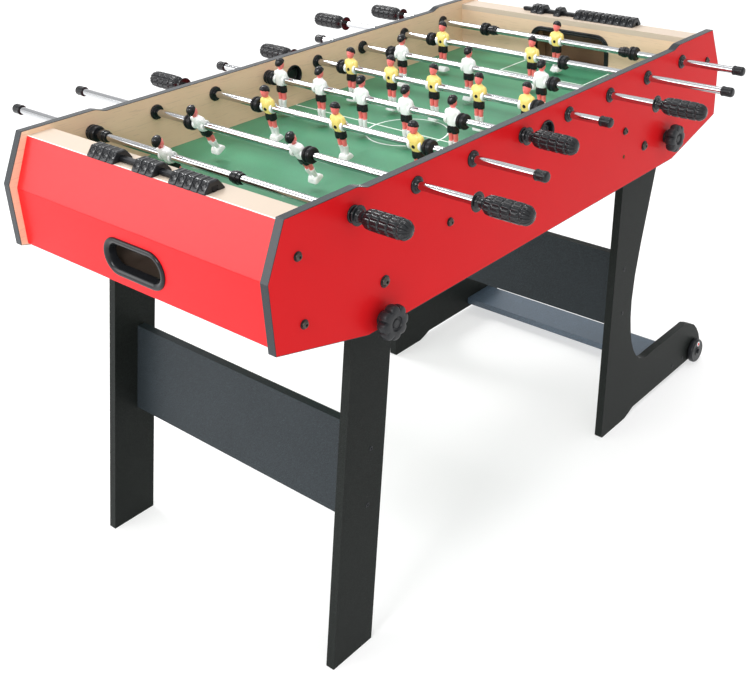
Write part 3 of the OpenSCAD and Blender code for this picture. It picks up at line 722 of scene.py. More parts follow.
def bumper(x, y, z):
    """Rubber ring with two rounded lips and a groove between them."""
    o, g, b, h = BUMPER["outer"], BUMPER["groove"], BUMPER["bore"], BUMPER["half"]
    profile = rounded([
        (b, -h, 0.3), (o - 1.5, -h, 1.2), (o, -h + 3, 1.5), (o, -2.6, 1.0), (g, -1.2, 0.8), (g, 1.2, 0.8),
        (o, 2.6, 1.0), (o, h - 3, 1.5), (o - 1.5, h, 1.2), (b, h, 0.3),
    ], 4, closed=True)
    return lathe(profile, (x, y, z), around=44, ring=True)


def grip(x, tip, side, z, sizes):
    """Handle: a turned form with a flange and a neck. Its body is a grid of pads: the radius is lowered by
    depth |cos|^22 of the place along it and by depth |cos|^9 of the turn, each only over the body."""
    profile = rounded([
        (6.7, 0.1, 0.1), (14.6, 0.1, 0.8), (15.4, 1.4, 0.8), (14.6, 2.6, 0.8), (10.2, 2.9, 0.4),
        (9.8, 4.9, 0.8),
        (7.8, 6.6, 1.4), (7.8, 13.6, 2.0), (11.4, 16.2, 1.4), (14.6, 21.0, 2.5), (15.6, 30.0, 5.0),
        (15.6, 80.0, 6.0), (14.0, 87.5, 3.0),
        (9.5, 93.2, 3.0), (2.0, 95.0, 1.0), (0.4, 95.0, 0.1),
    ], 4)
    length = np.concatenate([[0], np.cumsum(np.linalg.norm(np.diff(profile, axis=0), axis=1))])
    even = np.linspace(0, length[-1], 132)
    even = np.sort(np.concatenate([even, length[:24]]))
    even = even[np.concatenate([[True], np.diff(even) > 0.05])]
    profile = np.stack([np.interp(even, length, profile[:, k]) for k in range(2)], 1)
    depth, rings, ribs = sizes.grip_groove, sizes.grip_rings, sizes.grip_ribs
    start, end = 17.0, 95.0

    def pads(t, r, h):
        inside = np.clip((h - start) / 1.5, 0, 1) * np.clip((r - 2.5) / 5.0, 0, 1)
        ring = np.abs(np.cos(np.pi * rings * (h - start) / (end - start))) ** 22 * (h < end - 6.0)
        rib = np.abs(np.cos(ribs * t / 2)) ** 9
        return -depth * inside * np.maximum(ring, rib)

    return lathe(profile, (x, tip - side * 95.0, z), (0, side, 0), 160, pads)


def end_cap(x, tip, side, z):
    """Plastic cap pushed over a tube's end: a collar ring, a barrel with fine ribs and a domed end."""
    profile = rounded([
        (6.7, 0.0, 0.2), (8.4, 0.0, 0.4), (9.2, 1.5, 0.5), (9.2, 3.6, 0.5), (8.5, 4.6, 0.3), (8.7, 14.0, 1.0),
        (8.9, 19.0, 2.0), (6.5, 21.7, 1.6), (0.4, 22.0, 0.1),
    ], 4)

    def ribs(t, r, h):
        return 0.16 * np.cos(24 * t) * np.clip((h - 4.5) / 1.5, 0, 1) * np.clip((19.5 - h) / 1.5, 0, 1)

    return lathe(profile, (x, tip - side * 22.0, z), (0, side, 0), 72, ribs)


def collar(x, y, z):
    """Clamp collar: a barrel with a raised middle band and eased ends."""
    profile = rounded([
        (6.6, -11, 0.2), (8.4, -11, 0.5), (9.0, -10, 0.4), (9.0, -4.4, 0.4), (10.5, -3.8, 0.4),
        (10.5, 3.8, 0.4),
        (9.0, 4.4, 0.4), (9.0, 10, 0.4), (8.4, 11, 0.5), (6.6, 11, 0.2),
    ], 4, closed=True)
    return lathe(profile, (x, y, z), around=40, ring=True)


def bearing(x, z, side):
    """Rod bearing through a side panel: a rounded outer flange with a raised lip round the rod, the body in
    the panel and a notched inner flange."""
    panel = OUTER_Y - INNER_Y
    profile = rounded([
        (6.6, 6.0, 0.5), (8.9, 6.0, 0.8), (9.4, 3.4, 0.6), (11.8, 3.2, 0.6), (13.4, 2.2, 0.8),
        (13.5, 0.0, 0.1),
        (10.0, 0.0, 0.1), (10.0, -panel, 0.1), (13.5, -panel, 0.1), (13.4, -panel - 3.0, 0.6),
        (12.0, -panel - 4.0, 0.6), (6.6, -panel - 4.0, 0.4),
    ], 3, closed=True)

    def notches(t, r, h):
        inner = (h < -panel - 0.5) * (r > 11.0)
        return -0.9 * inner * np.abs(np.cos(6 * t)) ** 8

    return lathe(profile, (x, side * OUTER_Y, z), (0, side, 0), 48, notches, ring=True)


def entry_ring(x, z, side):
    """Ball entry: an outer lip, a bore through the panel that widens like a funnel, and an inner lip."""
    panel = OUTER_Y - INNER_Y
    profile = rounded([
        (18.4, 3.0, 1.0), (20.2, 3.0, 1.0), (21.0, 0.0, 0.1), (19.0, 0.0, 0.1), (19.0, -panel, 0.1),
        (21.0, -panel, 0.1), (20.4, -panel - 2.0, 0.6), (18.0, -panel - 2.0, 0.6), (17.1, -panel + 1.0, 1.0),
        (17.1, -1.0, 1.0),
    ], 4, closed=True)
    return lathe(profile, (x, side * OUTER_Y, z), (0, side, 0), 64, ring=True)


def entry_flap(x, z, side):
    """Rubber flap that closes a ball entry: a stepped disc in the middle of the panel's thickness."""
    half = (OUTER_Y - INNER_Y) / 2
    step = np.array([(0.3, 1.6, 0.05), (8.6, 1.6, 0.4), (9.6, 3.6, 0.6), (12.2, 3.8, 0.8), (13.4, 1.2, 0.6),
                     (17.3, 0.8, 0.2)])
    back = step[::-1] * (1, -1, 1)
    profile = rounded(np.concatenate([step, back]), 4) - (0, half)
    return lathe(profile, (x, side * OUTER_Y, z), (0, side, 0), 48)


def rail_bar(x):
    """T-shaped bar of a score rail: its section carried along Y."""
    low, high = node_box("score_rails")
    section = rounded([(-5, 8, 0.6), (5, 8, 0.6), (5, 3, 0.4), (3, 3, 0.3), (3, 0.02, 0.1), (-3, 0.02, 0.1),
                       (-3, 3, 0.3), (-5, 3, 0.4)], 4, closed=True)
    ends = np.array([low[1] + 9.0, high[1] - 3.0]) - MIDDLE[1]
    rings = np.empty((2, len(section), 3))
    rings[..., 0] = x + section[None, :, 0]
    rings[..., 1] = ends[:, None]
    rings[..., 2] = LEDGE_TOP + section[None, :, 1]
    return skin(rings)


def bolt(x, z, side, size, depth):
    """Domed bolt with a socket, and the washer under it."""
    head = rounded([
        (0.3, 2.6, 0.1), (0.32 * size, 2.6, 0.1), (0.32 * size, 5.4, 0.3), (0.55 * size, 5.5, 0.6),
        (0.93 * size, 3.6, 0.8), (0.95 * size, 1.5, 0.2), (0.5 * size, 1.5, 0.1), (0.5 * size, -depth, 0.1),
        (0.2, -depth, 0.05),
    ], 4)
    washer = rounded([
        (0.6 * size, 0.05, 0.1), (1.2 * size, 0.05, 0.3), (1.2 * size, 1.3, 0.4), (0.6 * size, 1.5, 0.1),
    ], 4, closed=True)
    at, axis = (x, side * OUTER_Y, z), (0, side, 0)
    return lathe(head, at, axis, 36), lathe(washer, at, axis, 36, ring=True)


def screw_head(x, y, z, side):
    """Flat countersunk screw head with a socket."""
    profile = rounded([
        (0.2, -1.0, 0.05), (1.3, -1.0, 0.1), (1.4, 0.55, 0.15), (3.4, 0.75, 0.3), (4.0, 0.02, 0.1),
        (2.0, -0.5, 0.1),
        (2.0, -40.0, 0.1), (0.2, -40.0, 0.05),
    ], 4)
    return lathe(profile, (x, y, z), (0, side, 0), 28)


def knob(x, z, side, depth, sizes):
    """Lobed hand knob: a turned form whose radius is lowered by notch (1 - |cos(n t / 2)|)^1.6 on the grip,
    with a dished face and a raised boss, on a threaded shank."""
    lobes, notch = sizes.knob_lobes, sizes.knob_notch
    profile = rounded([
        (0.3, 28.2, 0.1), (6.5, 28.2, 0.8), (7.4, 26.4, 0.6), (10.6, 26.4, 0.8), (11.6, 29.6, 0.8),
        (18.0, 30.0, 3.0),
        (26.0, 28.4, 3.0), (27.9, 23.0, 3.0), (27.9, 17.0, 2.5), (25.8, 12.0, 2.0), (16.0, 10.4, 2.0),
        (12.8, 8.0, 1.5), (12.8, 0.7, 0.5), (4.0, 0.5, 0.1), (4.0, -depth, 0.4), (0.3, -depth, 0.1),
    ], 4)

    def notches(t, r, h):
        share = np.clip((r - 15.0) / 11.0, 0, 1)
        return -notch * share * (1 - np.abs(np.cos(lobes * t / 2))) ** 1.6

    return lathe(profile, (x, side * OUTER_Y, z), (0, side, 0), 128, notches)


def goal_frame():
    """Frame round a goal mouth at +X: an L-shaped section carried up one side, over two quarter circles and
    down."""
    low, high = node_box("goal_frames")
    inner, thick = 9.0, 3.0
    half, top = (high[1] - low[1]) / 2 - inner, high[2] - FIELD_TOP - inner
    r, quarter = 20.0, np.linspace(0, np.pi / 2, 12)
    right = np.stack([half - r + r * np.cos(quarter), top - r + r * np.sin(quarter)], 1)
    left = np.stack([-right[::-1, 0], right[::-1, 1]], 1)
    path = np.concatenate([[[half, 0.05]], right, left, [[-half, 0.05]]])
    normal = np.concatenate([[[1, 0]], np.stack([np.cos(quarter), np.sin(quarter)], 1),
                             np.stack([-np.cos(quarter[::-1]), np.sin(quarter[::-1])], 1), [[-1, 0]]])
    at = np.stack([np.full(len(path), WALL_X), path[:, 0], path[:, 1] + FIELD_TOP], 1)
    outward = np.stack([np.zeros(len(path)), normal[:, 0], normal[:, 1]], 1)
    section = rounded([
        (-1.4, -11.8, 0.2), (-0.1, -11.8, 0.2), (-0.1, 0.0, 0.05), (inner, 0.0, 0.3),
        (inner, thick - 0.8, 0.7),
        (inner - 1.6, thick, 0.8), (5.4, thick, 0.3), (4.6, thick - 0.8, 0.3), (3.2, thick - 0.8, 0.3),
        (2.4, thick, 0.3), (0.2, thick, 1.0), (-1.4, thick - 1.8, 1.0),
    ], 4, closed=True)
    return carried(at, outward, (-1, 0, 0), section, closed=False)


def return_bezel():
    """Bezel of a ball return at +X: a rolled rim and a funnel through the sloped panel, carried round a
    slot with round ends that lies in the panel's plane."""
    panel_low, panel_high = node_box("lower_end_panels")
    r = 21.5
    # the panel's outer face runs from its top edge down to its lower edge
    top, bottom = panel_high[2], panel_low[2]
    reach = panel_high[0] - MIDDLE[0]
    face_low = reach - 3.0
    up = np.array([reach - face_low, 0, top - bottom])
    up /= np.linalg.norm(up)
    out = np.array([up[2], 0, -up[0]])
    share = (RETURN_Z - bottom) / (top - bottom)
    middle = np.array([face_low + (reach - face_low) * share, 0, RETURN_Z])
    t = np.linspace(-np.pi / 2, np.pi / 2, 20)
    arc = np.stack([np.cos(t), np.sin(t)], 1)
    flat = np.concatenate([arc * r + (RETURN_HALF, 0), -arc * r - (RETURN_HALF, 0)])
    normal = np.concatenate([arc, -arc])
    across = np.array([0, 1.0, 0])
    path = middle + flat[:, :1] * across + flat[:, 1:] * up
    outward = normal[:, :1] * across + normal[:, 1:] * up
    section = rounded([
        (-3.6, -11.0, 0.2), (-2.4, -11.0, 0.2), (-0.1, -0.2, 0.3), (10.0, 0.0, 0.2), (9.8, 2.2, 1.0),
        (7.6, 4.0, 1.4),
        (4.6, 4.0, 1.0), (2.4, 3.2, 1.2), (-0.6, 1.2, 1.6),
    ], 5, closed=True)
    return carried(path, outward, out, section, closed=True)


def ball_cup():
    """Dark moulded lining behind a ball return at +X: an open trough with round ends, deeper than it is
    high."""
    low, cup_r = node_box("lower_end_panels")[1][0] - MIDDLE[0] - 13.0, 23.0
    t = np.linspace(0, 2 * np.pi, 64, endpoint=False)
    c, s = np.cos(t), np.sin(t)
    y = RETURN_HALF * np.sign(c) * np.minimum(np.abs(c) * 6, 1) + cup_r * c
    z = cup_r * s
    rows = np.array([(0.0, 1.0), (-8.0, 1.02), (-22.0, 0.99), (-34.0, 0.9), (-41.0, 0.72), (-43.0, 0.4)])
    outer = np.stack([
        low + rows[:, :1] + 0 * t, y * rows[:, 1:], RETURN_Z - 4.0 * (1 - rows[:, 1:]) + z * rows[:, 1:],
    ], -1)
    inner = outer[::-1] + np.array([1.2, 0, 0])
    inner[..., 1] *= 0.975
    inner[..., 2] = RETURN_Z + (inner[..., 2] - RETURN_Z) * 0.95
    return skin(np.concatenate([outer, inner]), closed_along=True)


def bead(x, y, z, width, top, height, length):
    """Score bead: an arch over the rail with two waves across its crown. Its outer line is a trapezoid with
    round corners and its inner line follows the rail, carried along Y with eased ends. Each sloped side has
    a round medallion, raised by a ring that falls off with the distance from the middle of that side."""
    half, crown = width / 2, top / 2
    arch = rounded([
        (-half, 0.4, 0), (-half, 2.4, 1.2), (-crown, height, 2.2), (crown, height, 2.2), (half, 2.4, 1.2),
        (half, 0.4, 0),
    ], 5)
    reach = np.concatenate([[0], np.cumsum(np.linalg.norm(np.diff(arch, axis=0), axis=1))])
    across = 86
    even = np.linspace(0, reach[-1], across)
    outer = np.stack([np.interp(even, reach, arch[:, k]) for k in range(2)], 1)
    slot = np.array([(-5.6, 0.4), (-5.6, 8.4), (5.6, 8.4), (5.6, 0.4)])
    slot_reach = np.array([0, 8.0, 19.2, 27.2])
    slot_even = np.linspace(0, slot_reach[-1], across)
    inner = np.stack([np.interp(slot_even, slot_reach, slot[:, k]) for k in range(2)], 1)
    tangent = np.gradient(outer, axis=0)
    normal = np.stack([-tangent[:, 1], tangent[:, 0]], 1)
    normal /= np.linalg.norm(normal, axis=1, keepdims=True)
    v = np.sin(np.linspace(-np.pi / 2, np.pi / 2, 35)) * length / 2
    into = np.clip(np.abs(v) - (length / 2 - 2.2), 0, 2.2)
    ease = 2.2 - np.sqrt(np.maximum(2.2**2 - into**2, 0))
    side = (even - reach[-1] * 0.5)[:, None]
    away = np.hypot((np.abs(side) - 16.8) / 1.3, v[None, :])
    ring = 0.8 * np.exp(-(((away - 4.7) / 0.8) ** 2)) - 1.8 * np.clip((4.3 - away) / 1.0, 0, 1)
    crown = 0.7 * np.clip(1 - (side / 8.5) ** 2, 0, 1) * (0.5 + 0.5 * np.cos(4 * np.pi * v[None, :] / length))
    lift = (ring - crown - np.minimum(ease, 1.6)[None, :])[..., None]
    shell = outer[:, None, :] + normal[:, None, :] * lift
    shell[..., 1] = np.maximum(shell[..., 1], 0.4)
    hollow = np.repeat(inner[::-1, None, :], len(v), axis=1)
    loop = np.concatenate([shell, hollow])
    rows = np.stack([loop[..., 0] + x, 0 * loop[..., 0] + v + y, loop[..., 1] + z], -1).transpose(1, 0, 2)
    points, quads, _ = skin(rows, lids=False)
    n, count = across, len(rows)
    k = np.arange(n - 1)
    around = 2 * n
    first = np.stack([k, k + 1, around - 2 - k, around - 1 - k], -1)
    last = (count - 1) * around + first[:, ::-1]
    # the ends close in the same sense as the side quads next to them
    if np.any(np.all(quads[0] == [0, 1, around + 1, around])):
        first, last = first[:, ::-1], last[:, ::-1]
    return points, np.concatenate([quads, first, last]), np.zeros((0, 3), int)


def caster(x, z, side, y_face):
    """Wheel: a tread with round shoulders, a dished web and a hub, bored for its axle. Heights run
    outwards."""
    profile = rounded([
        (3.1, -0.4, 0.2), (10.8, -0.4, 0.5), (11.4, -1.6, 0.5), (22.0, -1.6, 0.8), (24.5, -1.0, 0.8),
        (27.0, -3.4, 1.8),
        (27.0, -11.6, 1.8), (24.5, -13.9, 0.8), (22.0, -13.4, 0.8), (11.4, -13.4, 0.5), (10.8, -14.9, 0.5),
        (3.1, -14.9, 0.2),
    ], 4, closed=True)
    profile[:, 1] *= -1
    return lathe(profile, (x, y_face, z), (0, side, 0), 72, ring=True)


# ---------------------------------------------------------------- one figure, looking along +X


def figure(kit):
    """The parts of one figure. kit gives the materials shirt, skin, black and white."""
    shirt, flesh, black, white = kit["shirt"], kit["skin"], kit["black"], kit["white"]
    parts = []
    torso = smooth_sections([
        (-11.5, -0.2, 0, 6.6, 9.2, 2.6), (-8, 0, 0, 7.6, 10.0, 2.6), (-2, 0.2, 0, 8.4, 10.6, 2.7),
        (5, 0.4, 0, 8.3, 11.6, 2.7), (11, 0.2, 0, 7.6, 12.6, 2.6), (15.5, -0.2, 0, 6.6, 12.2, 2.4),
        (18.2, -0.5, 0, 5.6, 9.4, 2.2), (20.2, -0.6, 0, 4.9, 5.6, 2.0),
    ], 22)

    def chest(t, x, y, z):
        """Pectorals and shoulder blades: the front swells on both sides of its middle line."""
        swell = np.exp(-(((np.abs(y) - 4.6) / 3.4) ** 2)) * np.exp(-(((z - 9) / 4.6) ** 2))
        return x + 0.9 * swell * np.sign(np.cos(t)), y, z

    parts.append((loft(torso, 40, chest), shirt))
    collar_rows = [(18.8, -0.6, 0, 5.4, 6.2, 2), (19.8, -0.6, 0, 5.8, 6.5, 2), (20.9, -0.5, 0, 5.2, 5.8, 2),
                   (21.0, -0.5, 0, 4.4, 4.9, 2)]
    parts.append((loft(collar_rows, 28), shirt))
    for side in SIDES:
        arm = smooth_sections([
            (-4.5, 0.6, side * 11.6, 3.2, 2.4, 2.2), (-1.5, 0.8, side * 12.6, 4.2, 3.3, 2.2),
            (3, 0.6, side * 13.0, 4.5, 3.6, 2.2), (8, 0.1, side * 12.7, 4.5, 3.8, 2.2),
            (12.5, -0.3, side * 11.8, 4.6, 3.9, 2.2), (16, -0.4, side * 10.4, 4.0, 3.6, 2.2),
            (17.8, -0.5, side * 9.0, 2.4, 2.4, 2.0),
        ], 14)
        parts.append((loft(arm, 20), shirt))
        cuff = rounded([(6.6, 8.5, 0.1), (8.6, 8.5, 0.3), (9.6, 11.0, 0.8), (9.6, 12.6, 0.5),
                        (8.9, 14.0, 0.6), (6.6, 14.0, 0.2)], 4, closed=True)
        parts.append((lathe(cuff, (0, 0, 0), (0, side, 0), 36, ring=True), white))
        leg = smooth_sections([
            (-20, 0.2, side * 4.9, 4.9, 4.4, 2.3), (-26, 0.3, side * 5.0, 4.8, 4.2, 2.2),
            (-31, 0.7, side * 5.0, 4.3, 3.9, 2.1), (-35, 0.9, side * 5.0, 4.2, 3.8, 2.1),
            (-41, 0.1, side * 5.0, 3.6, 3.3, 2),
        ], 12)
        parts.append((loft(leg, 20), flesh))
        sock = smooth_sections([
            (-38.8, 0.3, side * 5.0, 4.3, 4.0, 2.1), (-40.2, 0.2, side * 5.0, 4.6, 4.2, 2.1),
            (-44, -0.5, side * 5.0, 4.4, 4.0, 2.1), (-49, -0.4, side * 5.0, 3.8, 3.5, 2.1),
            (-54, 0.0, side * 5.0, 3.6, 3.4, 2.2), (-58, 0.3, side * 4.9, 4.0, 3.8, 2.4),
        ], 16)
        parts.append((loft(sock, 20), white))
    neck = [(17.5, -0.4, 0, 3.8, 4.0, 2), (21, -0.2, 0, 3.8, 3.9, 2), (25, 0.1, 0, 3.9, 3.9, 2)]
    parts.append((loft(neck, 20), flesh))
    head = smooth_sections([
        (21.6, 2.4, 0, 2.6, 2.4, 2.2), (22.8, 1.8, 0, 5.0, 4.2, 2.2), (25.2, 0.9, 0, 6.7, 5.7, 2.2),
        (28.5, 0.3, 0, 7.5, 6.5, 2.2), (32, 0.0, 0, 7.8, 6.9, 2.1), (36, -0.2, 0, 7.4, 6.7, 2.0),
        (39.5, -0.4, 0, 5.9, 5.5, 2.0), (41.2, -0.5, 0, 3.2, 3.0, 2.0),
    ], 24)

    def face(t, x, y, z):
        """A plain face: nose, brow and chin as soft swellings of the front, ears at the sides."""
        off = np.angle(np.exp(1j * t))
        nose = 1.9 * np.exp(-((off / 0.2) ** 2)) * np.exp(-(((z - 29.6) / 1.7) ** 2))
        brow = 0.7 * np.exp(-((off / 0.6) ** 2)) * np.exp(-(((z - 33.4) / 1.1) ** 2))
        eye = -0.6 * np.exp(-(((np.abs(off) - 0.42) / 0.2) ** 2)) * np.exp(-(((z - 31.6) / 1.0) ** 2))
        ear = 1.0 * np.exp(-(((np.abs(off) - 1.65) / 0.17) ** 2)) * np.exp(-(((z - 30.5) / 2.3) ** 2))
        return x + nose + brow + eye, y + ear * np.sign(off), z

    parts.append((loft(head, 48, face), flesh))
    hair = smooth_sections([
        (0.0, -0.6, 0, 8.0, 7.2, 2.1), (0.1, -0.7, 0, 8.9, 8.0, 2.1), (0.4, -0.7, 0, 8.8, 8.0, 2.1),
        (0.7, -0.7, 0, 7.4, 6.8, 2.0), (0.9, -0.7, 0, 4.9, 4.6, 2.0), (1.0, -0.7, 0, 1.5, 1.5, 2.0),
    ], 20)

    def locks(t, x, y, z):
        """Hair: from a line that is high over the face and low at the neck up to the crown, combed in
        waves."""
        low = 31.6 + 4.2 * np.cos(t) + 0.5 * np.cos(9 * t)
        height = low + (42.6 - low) * z
        wave = 1 + 0.045 * np.cos(9 * t + 4 * z) * np.clip(1.1 - z, 0, 1)
        return -0.7 + (x + 0.7) * wave, y * wave, height

    parts.append((loft(hair, 60, locks), black))
    shorts = smooth_sections([
        (-24.4, 0.2, 0, 6.3, 9.9, 3.2), (-23.6, 0.2, 0, 7.3, 10.6, 3.0), (-18.6, 0.1, 0, 7.9, 10.7, 2.8),
        (-13, 0, 0, 7.7, 10.2, 2.7), (-10.2, 0, 0, 7.2, 9.8, 2.6), (-9.4, 0, 0, 6.4, 9.0, 2.6),
    ], 14)

    def seat(t, x, y, z):
        """Two legs of the shorts: a crease in the middle that fades upwards."""
        crease = np.exp(-((y / 1.7) ** 2)) * np.clip((-15 - z) / 9.0, 0, 1)
        return x * (1 - 0.34 * crease), y, z + 1.2 * crease

    parts.append((loft(shorts, 44, seat), black))
    boots = smooth_sections([
        (-55.2, 0.0, 0, 4.6, 8.9, 3.4), (-56.4, 0.2, 0, 6.4, 9.6, 3.8), (-58.0, 0.1, 0, 8.2, 10.0, 4.2),
        (-60.5, 0.0, 0, 9.7, 10.3, 4.8), (-63.0, 0.0, 0, 10.6, 10.5, 5.2), (-64.6, 0.0, 0, 10.5, 10.4, 5.2),
        (-65.0, 0.0, 0, 9.8, 9.8, 4.8),
    ], 18)

    def laces(t, x, y, z):
        """The pair of boots is one block with a groove between the toes and a welt over the sole."""
        groove = np.exp(-((y / 1.3) ** 2)) * np.clip((z + 63.5) / 2.0, 0, 1)
        welt = 0.35 * np.exp(-(((z + 62.6) / 0.5) ** 2))
        return x * (1 - 0.16 * groove) + welt * np.sign(np.cos(t)), y, z

    parts.append((loft(boots, 48, laces), white))
    pin = rounded([(0.2, 9.0, 0.05), (1.5, 9.1, 0.2), (1.9, 9.8, 0.3), (2.9, 9.8, 0.3), (3.3, 8.9, 0.3),
                   (3.3, 5.5, 0.1), (0.2, 5.5, 0.05)], 4)
    parts.append((lathe(pin, (0, 0, 0), (1, 0, 0), 24), black))
    stud = rounded([(0.2, 8.6, 0.05), (1.0, 8.6, 0.3), (1.3, 7.5, 0.1), (0.2, 6.5, 0.05)], 4)
    parts.append((lathe(stud, (0, 0, 0), (-1, 0, 0), 16), shirt))
    return parts


# ---------------------------------------------------------------- operators


class Maker:
    """What every operator shares: the sizes and the finishes of this scene."""

    bl_options = {"REGISTER", "UNDO"}
    palette = None

    @classmethod
    def finishes(cls, context):
        if Maker.palette is None:
            Maker.palette = Palette(context.scene.foosball_colours, context.scene.foosball_sizes)
        return Maker.palette


class FOOSBALL_OT_cabinet(Maker, bpy.types.Operator):
    """Side panels, edge bands, end boards, ledges, end walls, trays and battens"""

    bl_idname = "foosball.cabinet"
    bl_label = "Cabinet boards"

    def execute(self, context):
        look, edge = self.finishes(context), context.scene.foosball_sizes.board_edge
        for side in ("right", "left"):
            finished(f"side_panel_{side}", look["side"])
        finished("ball_trays", look["plain_wood"])
        finished("support_timbers", look["plain_wood"])
        boards = (
            ("edge_bands", "rounded_edge_bands", "band", "edge_band", min(edge, 0.4)),
            ("upper_end_panels", "sloped_end_boards", "red_upper", "red_laminate", edge),
            ("lower_end_panels", "upright_end_boards", "red", "red_laminate", edge),
            ("end_ledges", "cream_ledges", "cream", "cream_board", edge),
            ("inner_end_walls", "maple_end_walls", "maple", "maple_board", edge),
        )
        for node, name, finish, slot, rounding in boards:
            eased_board(node, name, look[finish], "cabinet", rounding)
        return {"FINISHED"}


class FOOSBALL_OT_field(Maker, bpy.types.Operator):
    """Green field with its printed lines"""

    bl_idname = "foosball.field"
    bl_label = "Playing field"

    def execute(self, context):
        finished("playfield", self.finishes(context)["field"])
        return {"FINISHED"}


class FOOSBALL_OT_goals(Maker, bpy.types.Operator):
    """Goal frames, ball return bezels and the cups behind them"""

    bl_idname = "foosball.goals"
    bl_label = "Goals and ball returns"

    def execute(self, context):
        look = self.finishes(context)
        frames, bezels, cups = goal_frame(), return_bezel(), ball_cup()
        piece("goal_mouth_frames", [(frames, look["trim"]), (mirrored(frames, 0), look["trim"])], "cabinet",
              ("goal_frames",), 40)
        piece("ball_return_bezels", [(bezels, look["trim"]), (mirrored(bezels, 0), look["trim"])], "cabinet",
              ("return_bezels",), 50)
        piece("ball_return_cups", [(cups, look["cup"]), (mirrored(cups, 0), look["cup"])], "cabinet")
        return {"FINISHED"}


class FOOSBALL_OT_hardware(Maker, bpy.types.Operator):
    """Rod bearings, ball entries, bolts and hand knobs"""

    bl_idname = "foosball.hardware"
    bl_label = "Bearings, bolts and knobs"

    def execute(self, context):
        look, sizes = self.finishes(context), context.scene.foosball_sizes
        bearings = [(bearing(*node_axis(f"rod_{rod}"), side), look["bearing"])
                    for rod in RODS for side in SIDES]
        piece("rod_bearing_flanges", bearings, "cabinet", ("rod_bearings",))
        middle = node_axis("entry_rings")[1]
        rings = [(entry_ring(0.0, middle, side), look["trim"]) for side in SIDES]
        rings += [(entry_flap(0.0, middle, side), look["rubber"]) for side in SIDES]
        piece("ball_entry_funnels", rings, "cabinet", ("entry_rings",), 40)
        bolts = []
        for x, z, size, depth in CAP_BOLTS + LEG_BOLTS:
            for side in SIDES:
                head, washer = bolt(x, z, side, size, depth)
                bolts += [(head, look["bolt_head"]), (washer, look["trim"])]
        piece("domed_bolts", bolts, "cabinet", ("cap_bolts",))
        for where in TABLE_ENDS:
            for side, word in HANDS:
                node = f"knob_{where}_{word}"
                low, high = node_box(node)
                depth = OUTER_Y - (-high[1] + MIDDLE[1] if side < 0 else low[1] - MIDDLE[1])
                one = knob(*node_axis(node), side, depth, sizes)
                piece(f"hand_knob_{where}_{word}", [(one, look["knob"])],
                      f"knob_body_{where}_{word}", (node,))
        return {"FINISHED"}


class FOOSBALL_OT_rods(Maker, bpy.types.Operator):
    """Chrome tubes with grips, end caps, bumpers and collars"""

    bl_idname = "foosball.rods"
    bl_label = "Rods and grips"

    def execute(self, context):
        look, sizes = self.finishes(context), context.scene.foosball_sizes
        for rod in RODS:
            x, z = node_axis(f"rod_{rod}")
            side, tip, cap = rod_ends(rod)
            middle = team_middle(rod)
            finished(f"rod_{rod}", look["chrome"])
            parts = [(grip(x, tip, side, z, sizes), look["grip"])]
            parts += [(end_cap(x, cap, -side, z), look["bearing"])]
            parts += [(bumper(x, middle + y, z), look["rubber"]) for y in BUMPERS[rod]]
            parts += [(collar(x, middle + y, z), look["bearing"]) for y in COLLARS.get(rod, ())]
            piece(f"grip_and_fittings_{rod}", parts, f"team_{rod}", (f"fittings_{rod}",), 38)
        x, z = node_axis("rod_1")
        loose = [(bumper(x, side * (INNER_Y - 4 - BUMPER["half"]), z), look["rubber"]) for side in SIDES]
        piece("wall_bumpers", loose, "cabinet", ("loose_bumpers",), 38)
        return {"FINISHED"}


class FOOSBALL_OT_figures(Maker, bpy.types.Operator):
    """The players of both teams"""

    bl_idname = "foosball.figures"
    bl_label = "Figures"

    def execute(self, context):
        look = self.finishes(context)
        for rod in RODS:
            x, z = node_axis(f"rod_{rod}")
            white = rod in WHITE_RODS
            kit = {name: look[name] for name in ("skin", "white")}
            kit |= {"shirt": look["white" if white else "yellow"], "black": look["figure_black"]}
            about, facing = math.radians(TURNED.get(rod, 0)), 1 if white else -1
            c, s = math.cos(about), math.sin(about)
            turn = np.array([(c, 0, -s), (0, 1, 0), (s, 0, c)]) @ np.diag([facing, facing, 1.0])
            one = figure(kit)
            parts = [
                (moved(part, (x, team_middle(rod) + y, z), turn), material)
                for y in MEN[rod] for part, material in one
            ]
            piece(f"players_{rod}", parts, f"team_{rod}", (f"figures_{rod}",), 45)
        return {"FINISHED"}


class FOOSBALL_OT_scoring(Maker, bpy.types.Operator):
    """Score rails and the beads on them"""

    bl_idname = "foosball.scoring"
    bl_label = "Score beads"

    def execute(self, context):
        look = self.finishes(context)
        bars = [(rail_bar(node_axis(f"beads_{where}_1")[0]), look["steel"]) for where in TABLE_ENDS]
        piece("score_rail_bars", bars, "cabinet", ("score_rails",))
        for where in TABLE_ENDS:
            for pack in (1, 2, 3):
                node = f"beads_{where}_{pack}"
                x, _ = node_axis(node)
                runs = PACKS[where, pack]
                middles = [first + BEAD_PITCH * k for first, count in runs for k in range(count)]
                parts = [(bead(x, y, LEDGE_TOP, 38.0, 16.0, 17.0, 15.4), look["bead"]) for y in middles]
                piece(f"score_beads_{where}_{pack}", parts, f"score_{where}_{pack}",
                      (node,), 40)
        return {"FINISHED"}


